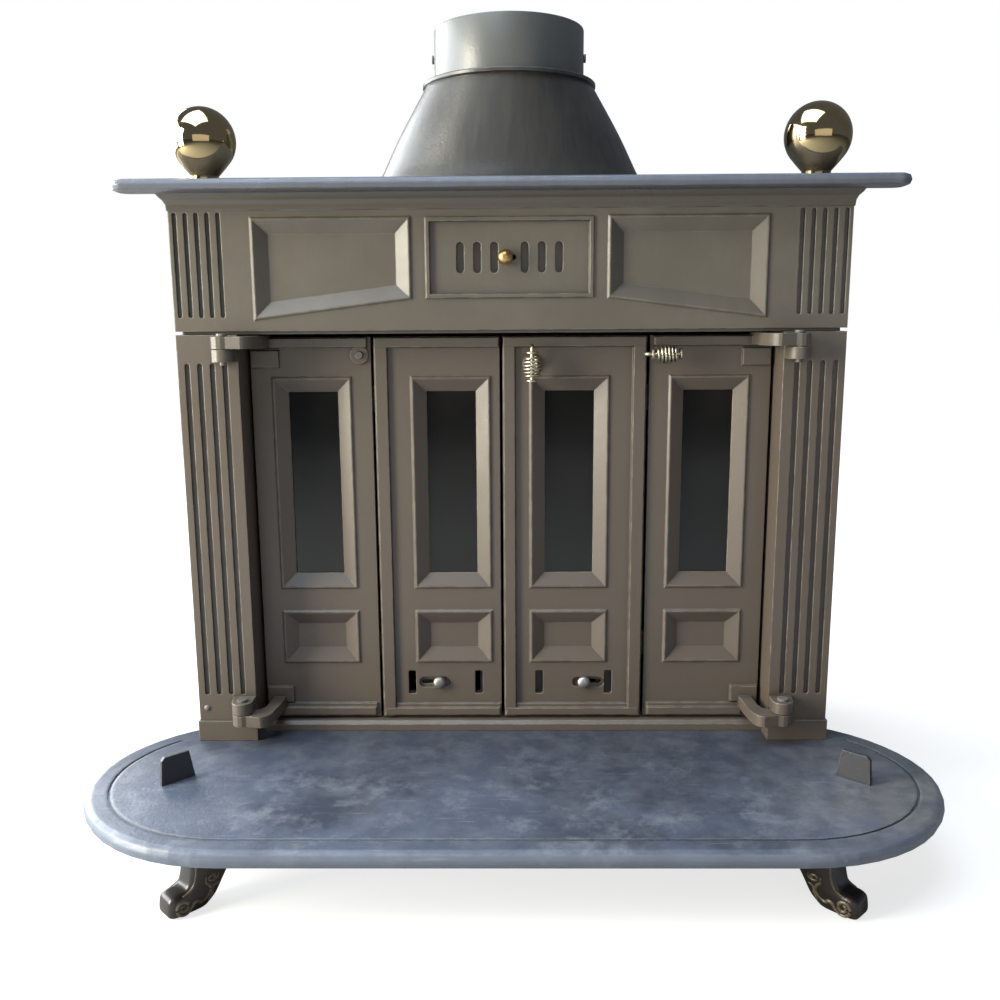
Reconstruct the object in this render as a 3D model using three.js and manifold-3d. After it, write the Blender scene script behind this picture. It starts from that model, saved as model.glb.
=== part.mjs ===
// Open front cast iron stove with a four-leaf folding door.
// Millimetres. +X right, +Y back, +Z up; the origin is on the ground below the middle of the object.
// Heights called "up" are above the hearth; depths called "behind" are from the front of the body.

import * as THREE from 'three';
import * as BufferGeometryUtils from 'three/addons/utils/BufferGeometryUtils.js';
import Module from 'manifold-3d';

const wasm = await Module();
wasm.setup();

// ---------------------------------------------------------------- driving dimensions

// Body
const BODY_WIDTH = 804;
const BODY_DEPTH = 400;
const SHEET = 6; // wall of the side and back castings
const FIT = 0.3; // gap between pieces that touch
const DOORWAY_HEIGHT = 518; // hearth to the top of the pilasters
const SHADOW_GAP = 4; // dark joint between the pilasters and the frieze

// Hearth and legs
const LEG_HEIGHT = 80;
const HEARTH_THICKNESS = 20;
const HEARTH_WIDTH = 1000;
const APRON = 278; // how far the hearth reaches in front of the body
const APRON_END_DEPTH = 350; // front to back of the half-oval ends
const APRON_END_REACH = 195; // sideways reach of the half-oval ends
const HEARTH_ROUND = 8;
const HEARTH_POCKET = 12; // depth of the hollow under the apron
const HEARTH_RIM = 14;
const LEG_PAD_RADIUS = 32;
const GROOVE_INSET = 26;
const GROOVE_WIDTH = 3;
const GROOVE_DEPTH = 1.5;
const LEG_THICKNESS = 30;
const LEG_REACH = 66; // middle of the leg's root to its toe
const TOE_HEIGHT = 27;
const LEG_INSET_X = 170; // hearth end to the front leg
const LEG_INSET_FRONT = 88;
const LEG_INSET_BACK = 25;
const REAR_LEG_X = 380;

// Hearth lugs, the upright stops for the open doors
const LUG_X = 398.5;
const LUG_SHIFT = 3; // both lugs are cast a little to the right
const LUG_FORWARD = 114;
const LUG_ANGLE = 43;
const LUG_LENGTH = 42;
const LUG_TOP_LENGTH = 30;
const LUG_HEIGHT = 34;
const LUG_THICKNESS = 5;

// Pilasters
const PILASTER_WIDTH = 74;
const PILASTER_DEPTH = 56;
const PLINTH_HEIGHT = 26.5;
const PLINTH_PROUD = 2;
const FLUTE_COUNT = 4;
const FLUTE_PITCH = 15.3;
const FLUTE_WIDTH = 6;
const FLUTE_DEPTH = 3;
const FLUTE_BOTTOM = 62;
const FLUTE_DROP = 34; // doorway top to the flutes' upper ends
const FLUTE_SHIFT = 2.5; // the flutes sit a little outward of the middle

// Frieze
const FRIEZE_HEIGHT = 150;
const FRIEZE_PLATE = 10;
const LINTEL_DEPTH = 50;
const LINTEL_THICKNESS = 5;
const FRIEZE_FLUTE_COUNT = 5;
const FRIEZE_FLUTE_PITCH = 12.9;
const FRIEZE_FLUTE_WIDTH = 5;
const FRIEZE_FLUTE_MARGIN = 33; // body edge to the middle flute
const FRIEZE_FLUTE_BOTTOM = 16;
const FRIEZE_FLUTE_TOP = 138;
const PANEL_NEAR = 118; // sunken frieze panel, inner and outer end from the middle
const PANEL_FAR = 304;
const PANEL_TOP = 130.5;
const PANEL_BOTTOM_NEAR = 38;
const PANEL_BOTTOM_FAR = 14.5;
const BEVEL_WIDTH = 17.5; // sloped border of every sunken panel and window
const RIM_SPREAD = 3.5; // how far the bead slopes out onto the face
const RIM_LAND = 1.5; // flat top of the bead round a sunken panel
const PANEL_DEPTH = 7;
const GRILLE_WIDTH = 198;
const GRILLE_BOTTOM = 38;
const GRILLE_TOP = 130.5;
const GRILLE_RIM = 5;
const GRILLE_SUNK = 2;
const GRILLE_RIM_PROUD = 2;
const GRILLE_SLOT_PITCH = 20.2;
const GRILLE_SLOT_FIRST = 18.1;
const GRILLE_SLOT_WIDTH = 9;
const GRILLE_SLOT_HEIGHT = 36;
const GRILLE_SLOT_MIDDLE = 84.5;
const GRILLE_TRAVEL = 9.5;
const GRILLE_KNOB_X = -5;
const SLIDE_PLATE = 3;

// Shelf
const COVE_HEIGHT = 9;
const COVE_DROP = 19; // the cove's foot below the shelf, on the frieze's face
const COVE_PROUD = 11;
const SHELF_THICKNESS = 13.5;
const SHELF_FRONT = 40;
const SHELF_SIDE = 55;
const SHELF_WING = 42; // depth of the ends that reach past the body
const SHELF_BACK = 8; // the shelf stops short of the back of the body
const SHELF_ROUND = 6;
const SHELF_CORNER = 16;

// Flue
const FLUE_BEHIND = 215; // middle of the flue behind the front
const FLUE_RADIUS = 100;
const FLUE_WALL = 6;
const BOOT_HEIGHT = 147.5;
const BOOT_BASE_X = 186;
const BOOT_BASE_Y = 132;
const BOOT_NECK = 111;
const BOOT_LIP = 5;
const COLLAR_HEIGHT = 68;
const DAMPER_CLEARANCE = 3;
const DAMPER_THICKNESS = 4;
const DAMPER_ROD = 4;

// Ball finials
const BALL_RADIUS = 38.5;
const BALL_X = 357;
const BALL_BEHIND = 4;
const BALL_NECK_RADIUS = 17;
const BALL_NECK_HEIGHT = 13;

// Door leaves
const LEAF_BEHIND = 42; // front face of the leaves
const LEAF_PLATE = 10;
const LEAF_BOTTOM = 15.5;
const LEAF_TOP_GAP = 4.5;
const LEAF_SIDE_GAP = 4;
const FOLD_X = 171.75; // the joint between outer and inner leaf
const FOLD_GAP = 3.5;
const RAISED = 5; // how proud the rails and ledges stand
const STILE_WIDTH = 16;
const RAIL_HEIGHT = 14;
const LOWER_RAIL_HEIGHT = 19;
const RAIL_STEP = 2.5; // the thin step along a lower rail's top edge
const MEETING_X = -9.6; // the right inner leaf's edge
const MEETING_GAP = 3.6;
const WINDOW_WIDTH = 97;
const WINDOW_BOTTOM = 192.5;
const WINDOW_DROP = 55; // doorway top to the windows
const OUTER_WINDOW_X = 248.5;
const INNER_WINDOW_X = 74.5;
const SMALL_PANEL_BOTTOM = 91.5;
const SMALL_PANEL_TOP = 159.5;
const SMALL_PANEL_DEPTH = 7;
const RIM_PROUD = 2;
const LEDGE_NEAR = 3.5; // ledge end from the fold edge of the outer leaf
const LEDGE_FAR = 19;
const STRAP_LENGTH = 37;
const STRAP_HEIGHT = 23;
const STRAP_PROUD = 4;
const GLASS_THICKNESS = 4;
const GLASS_LAP = 6;
const RETAINER_WIDTH = 10;
const RETAINER_SHEET = 1.5;

// Outer hinges: gooseneck arms on pins in front of the pilasters
const PIN_X = 341.5;
const PIN_FORWARD = 17;
const PIN_RADIUS = 4;
const PIN_CLEARANCE = 0.4;
const PIN_HEAD_RADIUS = 6.5;
const PIN_HEAD = 3;
const KNUCKLE_RADIUS = 13;
const KNUCKLE_HEIGHT = 14.5;
const KNUCKLE_GAP = 1;
const UPPER_KNUCKLE_DROP = 17; // doorway top to the top of the pilaster's upper lug
const LOWER_KNUCKLE = 45; // underside of the pilaster's lower lug

// Fold hinges on the backs of the leaves
const FOLD_AXIS_BEHIND = 6.5; // fold axis behind the leaves' backs
const FOLD_BARREL = 5.5;
const FOLD_KNUCKLE = 14;
const FOLD_PIN = 3;
const FOLD_WEB = 14;
const FOLD_LOWER = 110;
const FOLD_DROP = 83; // doorway top to the upper fold hinge

// Latches
const OUTER_LATCH_X = 187.5;
const OUTER_LATCH_DROP = 26.5; // doorway top to the spindle
const INNER_LATCH_X = 27;
const INNER_LATCH_DROP = 38;
const SPINDLE_RADIUS = 4.5;
const BOSS_RADIUS = 11.5;
const BOSS_PROUD = 3;
const TONGUE_LENGTH = 34;
const TONGUE_WIDTH = 11;
const TONGUE_THICKNESS = 4;
const INNER_TONGUE_LENGTH = 52; // it reaches behind the left inner leaf
const HANDLE_ROD = 2.5;
const HANDLE_BACK = 18; // the rod's bend, behind the spindle
const HANDLE_REACH = 21;
const HANDLE_STANDOFF = 25.5; // coil axis in front of the leaf
const COLLAR_DISC = 7.4;
const COIL_TURNS = 6;
const COIL_WIRE = 1.6;
const COIL_RADIUS = 10.2;
const COIL_END_RADIUS = 6;

// Air slides in the inner leaves
const VENT_MIDDLE_UP = 62.5;
const VENT_HEIGHT = 32;
const VENT_WIDTH = 10;
const VENT_CORNER = 2;
const RIGHT_VENTS = [36.5, 127]; // the vent slots' places, near and far from the middle
const LEFT_VENTS = [43, 131];
const GROOVE_NEAR_X = 80;
const GROOVE_FAR_X = 122;
const AIR_GROOVE_HEIGHT = 14;
const AIR_KNOB_RADIUS = 8.5;
const AIR_KNOB_X = 95;
const AIR_TRAVEL = 20;
const SLIDE_LAP = 4; // air slide beyond its slots
const AIR_RAIL_NEAR = 12;
const AIR_RAIL_FAR = 148;
const KNOB_STEM = 2.5;

// Firebox
const THRESHOLD_HEIGHT = 13;
const THRESHOLD_BEHIND = 28;
const THRESHOLD_DEPTH = 34;
const TRAY_HALF_WIDTH = 352;
const TRAY_FRONT = 82;
const TRAY_BACK = 352;
const TRAY_DEPTH = 34;
const TRAY_FLANGE = 14;
const TRAY_WALL = 4;
const GRATE_HALF_WIDTH = 230;
const GRATE_FRONT = 110;
const GRATE_BACK = 330;
const GRATE_BARS = 9;
const GRATE_BAR = 12;
const GRATE_TOP = 12;
const FIREBACK_THICKNESS = 12;
const FIREBACK_DROP = 38; // doorway top to the fireback's top edge
const FIREBACK_HALF_WIDTH = 340;
const BAFFLE_THICKNESS = 6;
const BAFFLE_FRONT = 190;
const BAFFLE_RAISE = 22; // doorway top to the baffle's back edge
const BAFFLE_RISE = 70;
const LEDGE_SIZE = 14;

// ---------------------------------------------------------------- derived places

const HEARTH_TOP = LEG_HEIGHT + HEARTH_THICKNESS;
const FRONT = (APRON - BODY_DEPTH) / 2;
const HALF_BODY = BODY_WIDTH / 2;
const up = (height) => HEARTH_TOP + height;
const behind = (depth) => FRONT + depth;

const FRIEZE_BOTTOM = DOORWAY_HEIGHT + SHADOW_GAP;
const SHELF_UNDER = FRIEZE_BOTTOM + FRIEZE_HEIGHT + COVE_HEIGHT;
const SHELF_TOP = SHELF_UNDER + SHELF_THICKNESS;
const LINTEL_BOTTOM = DOORWAY_HEIGHT + FIT;
const LEAF_TOP = DOORWAY_HEIGHT - LEAF_TOP_GAP;
const FLUTE_TOP = DOORWAY_HEIGHT - FLUTE_DROP;
const WINDOW_TOP = DOORWAY_HEIGHT - WINDOW_DROP;
const UPPER_KNUCKLE = DOORWAY_HEIGHT - UPPER_KNUCKLE_DROP;
const FOLD_UPPER = DOORWAY_HEIGHT - FOLD_DROP;
const OUTER_LATCH_UP = DOORWAY_HEIGHT - OUTER_LATCH_DROP;
const INNER_LATCH_UP = DOORWAY_HEIGHT - INNER_LATCH_DROP;
const FIREBACK_HEIGHT = DOORWAY_HEIGHT - FIREBACK_DROP;
const BAFFLE_LOW = DOORWAY_HEIGHT + BAFFLE_RAISE;
const LEAF_BACK = LEAF_BEHIND + LEAF_PLATE;
const PILASTER_INNER = HALF_BODY - PILASTER_WIDTH;
const OUTER_LEAF_NEAR = FOLD_X + FOLD_GAP / 2;
const OUTER_LEAF_FAR = PILASTER_INNER - LEAF_SIDE_GAP;
const INNER_LEAF_FAR = FOLD_X - FOLD_GAP / 2;
const LEFT_MEETING = -MEETING_X + MEETING_GAP;
const FOLD_AXIS = LEAF_BACK + FOLD_AXIS_BEHIND;
const BODY_INSIDE = BODY_DEPTH - SHEET;
const GLASS_BEHIND = LEAF_BACK + FIT;

// ---------------------------------------------------------------- shapes

const CIRCLE_STEPS = 16;

/** A closed three.js geometry as a solid that can be joined and cut. */
function solid(geometry) {
  const bare = geometry.index ? geometry.toNonIndexed() : geometry.clone();
  bare.deleteAttribute('normal');
  bare.deleteAttribute('uv');
  const merged = BufferGeometryUtils.mergeVertices(bare, 1e-4);
  return new wasm.Manifold(new wasm.Mesh({
    numProp: 3,
    vertProperties: new Float32Array(merged.attributes.position.array),
    triVerts: new Uint32Array(merged.index.array),
  }));
}

/** A solid back as a geometry, mirrored left to right if asked. */
function geometryOf(shape, mirror = false) {
  const { vertProperties, triVerts } = shape.getMesh();
  const geometry = new THREE.BufferGeometry();
  const place = new Float32Array(vertProperties);
  const corners = new Uint32Array(triVerts);
  if (mirror) {
    for (let i = 0; i < place.length; i += 3) place[i] = -place[i];
    for (let i = 0; i < corners.length; i += 3) {
      [corners[i], corners[i + 1]] = [corners[i + 1], corners[i]];
    }
  }
  geometry.setAttribute('position', new THREE.BufferAttribute(place, 3));
  geometry.setIndex(new THREE.BufferAttribute(corners, 1));
  return geometry;
}

/** A solid through rings of the same number of points, in order, with flat ends. */
function loft(rings) {
  const count = rings[0].length;
  const place = rings.flat().flat();
  const faces = [];
  for (let r = 0; r + 1 < rings.length; r++) {
    for (let i = 0; i < count; i++) {
      const a = r * count + i;
      const b = r * count + ((i + 1) % count);
      faces.push(a, a + count, b, b, a + count, b + count);
    }
  }
  const last = (rings.length - 1) * count;
  for (let i = 1; i + 1 < count; i++) {
    faces.push(0, i, i + 1);
    faces.push(last, last + i + 1, last + i);
  }
  let volume = 0;
  const corner = (i) => new THREE.Vector3(...place.slice(3 * i, 3 * i + 3));
  for (let i = 0; i < faces.length; i += 3) {
    const cross = corner(faces[i]).cross(corner(faces[i + 1]));
    volume += cross.dot(corner(faces[i + 2]));
  }
  if (volume < 0) faces.reverse();
  const geometry = new THREE.BufferGeometry();
  geometry.setAttribute('position', new THREE.Float32BufferAttribute(place, 3));
  geometry.setIndex(faces);
  return solid(geometry);
}

/** A box from two corners. */
function block(x0, x1, y0, y1, z0, z1) {
  const box = new THREE.BoxGeometry(x1 - x0, y1 - y0, z1 - z0);
  return solid(box.translate((x0 + x1) / 2, (y0 + y1) / 2, (z0 + z1) / 2));
}

/** A round bar between two points. */
function bar(radius, from, to, steps = CIRCLE_STEPS) {
  const start = new THREE.Vector3(...from);
  const line = new THREE.Vector3(...to).sub(start);
  const length = line.length();
  const turn = new THREE.Quaternion().setFromUnitVectors(new THREE.Vector3(0, 1, 0), line.normalize());
  const cylinder = new THREE.CylinderGeometry(radius, radius, length, steps).translate(0, length / 2, 0);
  return solid(cylinder.applyQuaternion(turn).translate(start.x, start.y, start.z));
}

const shapeOf = (points) => new THREE.Shape(points.map(([a, b]) => new THREE.Vector2(a, b)));

/** A plan outline raised from one height to another, with its edges rounded by `round`. */
function plan(shape, bottom, top, round = 0, curveSegments = 12) {
  const bevel = {
    bevelEnabled: round > 0, bevelSize: round, bevelThickness: round, bevelOffset: -round, bevelSegments: 2,
  };
  const depth = top - bottom - 2 * round;
  const raised = new THREE.ExtrudeGeometry(shape, { depth, curveSegments, ...bevel });
  return solid(raised.translate(0, 0, bottom + round));
}

/** An outline in the front view (x, z), from one depth to another. */
function front(shape, near, far, curveSegments = 8) {
  const extruded = new THREE.ExtrudeGeometry(shape, { depth: far - near, bevelEnabled: false, curveSegments });
  return solid(extruded.rotateX(Math.PI / 2).translate(0, far, 0));
}

const rectangle = (x0, x1, z0, z1) => [[x0, z0], [x1, z0], [x1, z1], [x0, z1]];

/** Moves each side of a convex outline, listed counter-clockwise, inward by a distance. */
function inset(points, distance) {
  const count = points.length;
  const lines = points.map(([ax, az], i) => {
    const [bx, bz] = points[(i + 1) % count];
    const length = Math.hypot(bx - ax, bz - az);
    const nx = -(bz - az) / length;
    const nz = (bx - ax) / length;
    return [nx, nz, nx * ax + nz * az + distance];
  });
  return points.map((_, i) => {
    const [a, b, c] = lines[(i + count - 1) % count];
    const [d, e, f] = lines[i];
    const det = a * e - b * d;
    return [(c * e - b * f) / det, (a * f - c * d) / det];
  });
}

/** A tapered solid between a near outline and a far outline in the front view. */
function wedge(nearPoints, farPoints, near, far) {
  return loft([
    nearPoints.map(([x, z]) => [x, near, z]),
    farPoints.map(([x, z]) => [x, far, z]),
  ]);
}

/** The raised bead round a sunken panel, and the sloped cut inside it. */
function bead(outline, face) {
  return wedge(inset(outline, 0), inset(outline, -RIM_SPREAD), face - RIM_PROUD, face + 1);
}
function slopedCut(outline, face, depth, width = BEVEL_WIDTH) {
  const mouth = inset(outline, RIM_LAND);
  const floor = inset(outline, width);
  const run = (width - RIM_LAND) / (depth + RIM_PROUD);
  return wedge(inset(mouth, -run), floor, face - RIM_PROUD - 1, face + depth);
}

/** An upright slot with half-round ends, in the front view. */
function slotOutline(x, bottom, top, width) {
  const r = width / 2;
  const outline = new THREE.Shape();
  outline.absarc(x, bottom + r, r, Math.PI, 2 * Math.PI, false);
  outline.absarc(x, top - r, r, 0, Math.PI, false);
  return outline;
}

/** An upright opening with rounded corners, in the front view. */
function openingOutline(x, bottom, top, width, corner) {
  const half = width / 2 - corner;
  const outline = new THREE.Shape();
  outline.absarc(x - half, bottom + corner, corner, Math.PI, 1.5 * Math.PI, false);
  outline.absarc(x + half, bottom + corner, corner, 1.5 * Math.PI, 2 * Math.PI, false);
  outline.absarc(x + half, top - corner, corner, 0, Math.PI / 2, false);
  outline.absarc(x - half, top - corner, corner, Math.PI / 2, Math.PI, false);
  return outline;
}

/** A level slot with half-round ends, in the front view. */
function levelSlot(x0, x1, z, height) {
  const r = height / 2;
  const outline = new THREE.Shape();
  outline.absarc(x0 + r, z, r, Math.PI / 2, 1.5 * Math.PI, false);
  outline.absarc(x1 - r, z, r, -Math.PI / 2, Math.PI / 2, false);
  return outline;
}

/** A round tube along points, closed by flat ends. */
function tube(points, radius, sides) {
  const rings = [];
  let normal = null;
  points.forEach((point, i) => {
    const before = points[Math.max(i - 1, 0)];
    const after = points[Math.min(i + 1, points.length - 1)];
    const along = after.clone().sub(before).normalize();
    normal = normal ?? new THREE.Vector3(0, 0, 1).cross(along);
    if (normal.length() < 0.1) normal = new THREE.Vector3(1, 0, 0).cross(along);
    normal.sub(along.clone().multiplyScalar(normal.dot(along))).normalize();
    const side = along.clone().cross(normal);
    rings.push(Array.from({ length: sides }, (_, k) => {
      const angle = (2 * Math.PI * k) / sides;
      const out = normal.clone().multiplyScalar(radius * Math.cos(angle));
      return point.clone().add(out).addScaledVector(side, radius * Math.sin(angle)).toArray();
    }));
  });
  return loft(rings);
}

// ---------------------------------------------------------------- the assembly

const iron = new THREE.MeshStandardMaterial({ color: 0x6c675c, roughness: 0.55, metalness: 0.25 });
const darkIron = new THREE.MeshStandardMaterial({ color: 0x3c3a36, roughness: 0.7, metalness: 0.2 });
const hearthIron = new THREE.MeshStandardMaterial({ color: 0x6f7682, roughness: 0.5, metalness: 0.3 });
const legIron = new THREE.MeshStandardMaterial({ color: 0x2f2824, roughness: 0.35, metalness: 0.5 });
const brass = new THREE.MeshStandardMaterial({ color: 0xc79a4c, roughness: 0.25, metalness: 1 });
const nickel = new THREE.MeshStandardMaterial({ color: 0xcfc4a4, roughness: 0.3, metalness: 1 });
const steel = new THREE.MeshStandardMaterial({ color: 0x8d8c88, roughness: 0.4, metalness: 0.9 });
const glass = new THREE.MeshStandardMaterial({
  color: 0x1c1815, roughness: 0.08, metalness: 0, transparent: true, opacity: 0.6,
});

const stove = new THREE.Group();

/** Adds a named piece to the stove. */
function piece(name, shape, material, mirror = false) {
  const mesh = new THREE.Mesh(geometryOf(shape, mirror), material);
  mesh.name = name;
  stove.add(mesh);
}

/** Adds a right-hand piece and its mirror image. */
function pair(name, shape, material) {
  piece(`right_${name}`, shape, material);
  piece(`left_${name}`, shape, material, true);
}

// ---------------------------------------------------------------- hearth

/** The hearth's apron: straight in front, with half-oval ends, drawn in by a margin. */
function apronOutline(margin) {
  const halfDepth = APRON_END_DEPTH / 2;
  const endX = HEARTH_WIDTH / 2 - APRON_END_REACH;
  const middleY = behind(-APRON) + halfDepth;
  const outline = new THREE.Shape();
  const reach = APRON_END_REACH - margin;
  outline.absellipse(endX, middleY, reach, halfDepth - margin, -Math.PI / 2, Math.PI / 2, false, 0);
  outline.absellipse(-endX, middleY, reach, halfDepth - margin, Math.PI / 2, 1.5 * Math.PI, false, 0);
  return outline;
}

const legX = HEARTH_WIDTH / 2 - LEG_INSET_X;
const legY = behind(LEG_INSET_FRONT - APRON);

function hearthPlate() {
  const base = block(-HALF_BODY - 6, HALF_BODY + 6, behind(-20), behind(BODY_DEPTH), LEG_HEIGHT, HEARTH_TOP);
  const groove = plan(apronOutline(GROOVE_INSET), HEARTH_TOP - GROOVE_DEPTH, HEARTH_TOP + 1)
    .subtract(plan(apronOutline(GROOVE_INSET + GROOVE_WIDTH), LEG_HEIGHT, HEARTH_TOP + 2))
    .subtract(block(-HEARTH_WIDTH, HEARTH_WIDTH, behind(-1), behind(BODY_DEPTH), 0, HEARTH_TOP + 2));
  const pads = [-1, 1].map((side) => bar(
    LEG_PAD_RADIUS, [side * legX, legY, LEG_HEIGHT - 2], [side * legX, legY, LEG_HEIGHT + HEARTH_POCKET + 2], 20));
  const pocket = plan(apronOutline(HEARTH_RIM), LEG_HEIGHT - 1, LEG_HEIGHT + HEARTH_POCKET)
    .subtract(pads[0]).subtract(pads[1]);
  const ashHole = block(
    -TRAY_HALF_WIDTH, TRAY_HALF_WIDTH, behind(TRAY_FRONT), behind(TRAY_BACK), 0, HEARTH_TOP + 1);
  return plan(apronOutline(0), LEG_HEIGHT, HEARTH_TOP, HEARTH_ROUND, 12).add(base)
    .subtract(groove).subtract(pocket).subtract(ashHole);
}
piece('hearth_plate', hearthPlate(), hearthIron);

/** An upright plate, narrower at the top, turned to face the open doors. */
function hearthLug() {
  const half = LUG_LENGTH / 2;
  const halfTop = LUG_TOP_LENGTH / 2;
  const side = [[-half, FIT], [half, FIT], [half - 2, LUG_HEIGHT - 4], [halfTop, LUG_HEIGHT], [-halfTop, LUG_HEIGHT]];
  return front(shapeOf(side), -LUG_THICKNESS / 2, LUG_THICKNESS / 2)
    .rotate([0, 0, -LUG_ANGLE]).translate([LUG_X, behind(-LUG_FORWARD), HEARTH_TOP]);
}
piece('right_hearth_lug', hearthLug().translate([LUG_SHIFT, 0, 0]), hearthIron);
piece('left_hearth_lug', hearthLug().translate([-LUG_SHIFT, 0, 0]), hearthIron, true);

/** A curved leg with a scroll foot: a side outline, `s` outward from its root and `z` up. */
function leg() {
  const top = LEG_HEIGHT - FIT;
  const outline = new THREE.Shape();
  const reach = LEG_REACH;
  outline.moveTo(-0.26 * reach, top);
  outline.quadraticCurveTo(-0.2 * reach, 0.58 * top, 0, 0.33 * top);
  outline.quadraticCurveTo(0.13 * reach, 0.15 * top, 0.27 * reach, 0.06 * top);
  outline.quadraticCurveTo(0.38 * reach, 0, 0.52 * reach, 0);
  outline.lineTo(0.86 * reach, 0);
  outline.quadraticCurveTo(reach, 0.12 * TOE_HEIGHT, reach, 0.5 * TOE_HEIGHT);
  outline.quadraticCurveTo(0.96 * reach, 0.96 * TOE_HEIGHT, 0.8 * reach, TOE_HEIGHT);
  outline.quadraticCurveTo(0.66 * reach, TOE_HEIGHT, 0.6 * reach, 0.5 * top);
  outline.quadraticCurveTo(0.56 * reach, 0.7 * top, 0.53 * reach, top);
  outline.closePath();
  return front(outline, -LEG_THICKNESS / 2, LEG_THICKNESS / 2, 5);
}
pair('front_leg', leg().rotate([0, 0, -45]).translate([legX, legY, 0]), legIron);
pair('rear_leg', leg().translate([REAR_LEG_X, behind(BODY_DEPTH - LEG_INSET_BACK), 0]), legIron);

// ---------------------------------------------------------------- firebox

function thresholdBar() {
  const end = PILASTER_INNER - FIT;
  const top = THRESHOLD_HEIGHT;
  const profile = [[0, FIT], [THRESHOLD_DEPTH, FIT], [THRESHOLD_DEPTH, top], [4, top], [0, top - 4]];
  return loft([-end, end].map((x) => profile.map(([y, z]) => [x, behind(THRESHOLD_BEHIND + y), up(z)])));
}
piece('threshold_bar', thresholdBar(), iron);

/** The ash tray: a flange on the hearth and a basin hanging through it. */
function ashTray() {
  const lap = TRAY_FLANGE;
  const flange = block(
    -TRAY_HALF_WIDTH - lap, TRAY_HALF_WIDTH + lap, behind(TRAY_FRONT - lap), behind(TRAY_BACK + lap),
    up(FIT), up(FIT + TRAY_WALL));
  const gap = 1;
  const basin = block(
    -TRAY_HALF_WIDTH + gap, TRAY_HALF_WIDTH - gap, behind(TRAY_FRONT + gap), behind(TRAY_BACK - gap),
    up(-TRAY_DEPTH), up(2 * FIT));
  const wall = gap + TRAY_WALL;
  const hollow = block(
    -TRAY_HALF_WIDTH + wall, TRAY_HALF_WIDTH - wall, behind(TRAY_FRONT + wall), behind(TRAY_BACK - wall),
    up(-TRAY_DEPTH + TRAY_WALL), up(20));
  return flange.add(basin).subtract(hollow);
}
piece('ash_tray', ashTray(), darkIron);

/** The log grate: bars front to back on two cross rails and four short feet. */
function logGrate() {
  const floor = -TRAY_DEPTH + TRAY_WALL + FIT;
  const barBottom = GRATE_TOP - GRATE_BAR;
  const railBottom = barBottom - 8;
  let grate = null;
  const add = (shape) => { grate = grate ? grate.add(shape) : shape; };
  for (let i = 0; i < GRATE_BARS; i++) {
    const x = GRATE_HALF_WIDTH * ((2 * i) / (GRATE_BARS - 1) - 1);
    add(block(x - GRATE_BAR / 2, x + GRATE_BAR / 2, behind(GRATE_FRONT), behind(GRATE_BACK), up(barBottom), up(GRATE_TOP)));
  }
  const railEnd = GRATE_HALF_WIDTH + GRATE_BAR / 2;
  for (const y of [GRATE_FRONT + 35, GRATE_BACK - 35]) {
    add(block(-railEnd, railEnd, behind(y - 7), behind(y + 7), up(railBottom), up(barBottom + 3)));
    for (const x of [-GRATE_HALF_WIDTH, GRATE_HALF_WIDTH]) {
      add(block(x - 6, x + 6, behind(y - 7), behind(y + 7), up(floor), up(barBottom + 1)));
    }
  }
  return grate;
}
piece('log_grate', logGrate(), darkIron);

/** The fireback: a thick plate with a raised border, standing against the back. */
function fireback() {
  const back = BODY_INSIDE - FIT;
  const outline = rectangle(-FIREBACK_HALF_WIDTH, FIREBACK_HALF_WIDTH, up(FIT), up(FIREBACK_HEIGHT));
  const plate = front(shapeOf(outline), behind(back - FIREBACK_THICKNESS), behind(back));
  return plate.subtract(slopedCut(outline, behind(back - FIREBACK_THICKNESS + RIM_PROUD), 4, 40));
}
piece('fireback', fireback(), darkIron);

/** A level-ended sloping slab in the side view, between two x places. */
function slab(x0, x1, thickness, drop) {
  const length = BODY_INSIDE - 1 - BAFFLE_FRONT;
  const rise = (y) => BAFFLE_LOW + BAFFLE_RISE * (1 - (y - BAFFLE_FRONT) / length);
  const near = BAFFLE_FRONT;
  const far = BAFFLE_FRONT + length;
  const profile = [[near, rise(near) - drop], [far, rise(far) - drop], [far, rise(far) - drop + thickness],
    [near, rise(near) - drop + thickness]];
  return loft([x0, x1].map((x) => profile.map(([y, z]) => [x, behind(y), up(z)])));
}
const sideInner = HALF_BODY - 2 - SHEET;
piece('smoke_baffle', slab(-sideInner + 1, sideInner - 1, BAFFLE_THICKNESS, 0), darkIron);

// ---------------------------------------------------------------- body castings

const RETURN_DEPTH = 20; // the front castings turn back this far at the sides

function sidePlate() {
  const plate = block(
    sideInner, sideInner + SHEET, behind(RETURN_DEPTH + FIT), behind(BODY_INSIDE - FIT), up(FIT), up(SHELF_UNDER - FIT));
  const ledge = slab(sideInner - LEDGE_SIZE, sideInner + 1, LEDGE_SIZE, LEDGE_SIZE + FIT);
  return plate.add(ledge);
}
pair('side_plate', sidePlate(), iron);

piece('back_plate', block(
  -HALF_BODY, HALF_BODY, behind(BODY_INSIDE), behind(BODY_DEPTH), up(FIT), up(SHELF_UNDER - FIT)), iron);

/** A hinge lug on the pilaster: a tongue round the pin, from the front face. */
function hingeLug(bottom) {
  const y = behind(-PIN_FORWARD);
  const outline = new THREE.Shape();
  outline.moveTo(PILASTER_INNER + 0.5, behind(3));
  outline.lineTo(PIN_X - KNUCKLE_RADIUS, y);
  outline.absarc(PIN_X, y, KNUCKLE_RADIUS, Math.PI, 2 * Math.PI, false);
  outline.lineTo(PIN_X + KNUCKLE_RADIUS + 3, behind(3));
  outline.closePath();
  return plan(outline, up(bottom), up(bottom + KNUCKLE_HEIGHT));
}

const pinHole = (bottom, top) => bar(
  PIN_RADIUS + PIN_CLEARANCE, [PIN_X, behind(-PIN_FORWARD), up(bottom)], [PIN_X, behind(-PIN_FORWARD), up(top)]);

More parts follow.
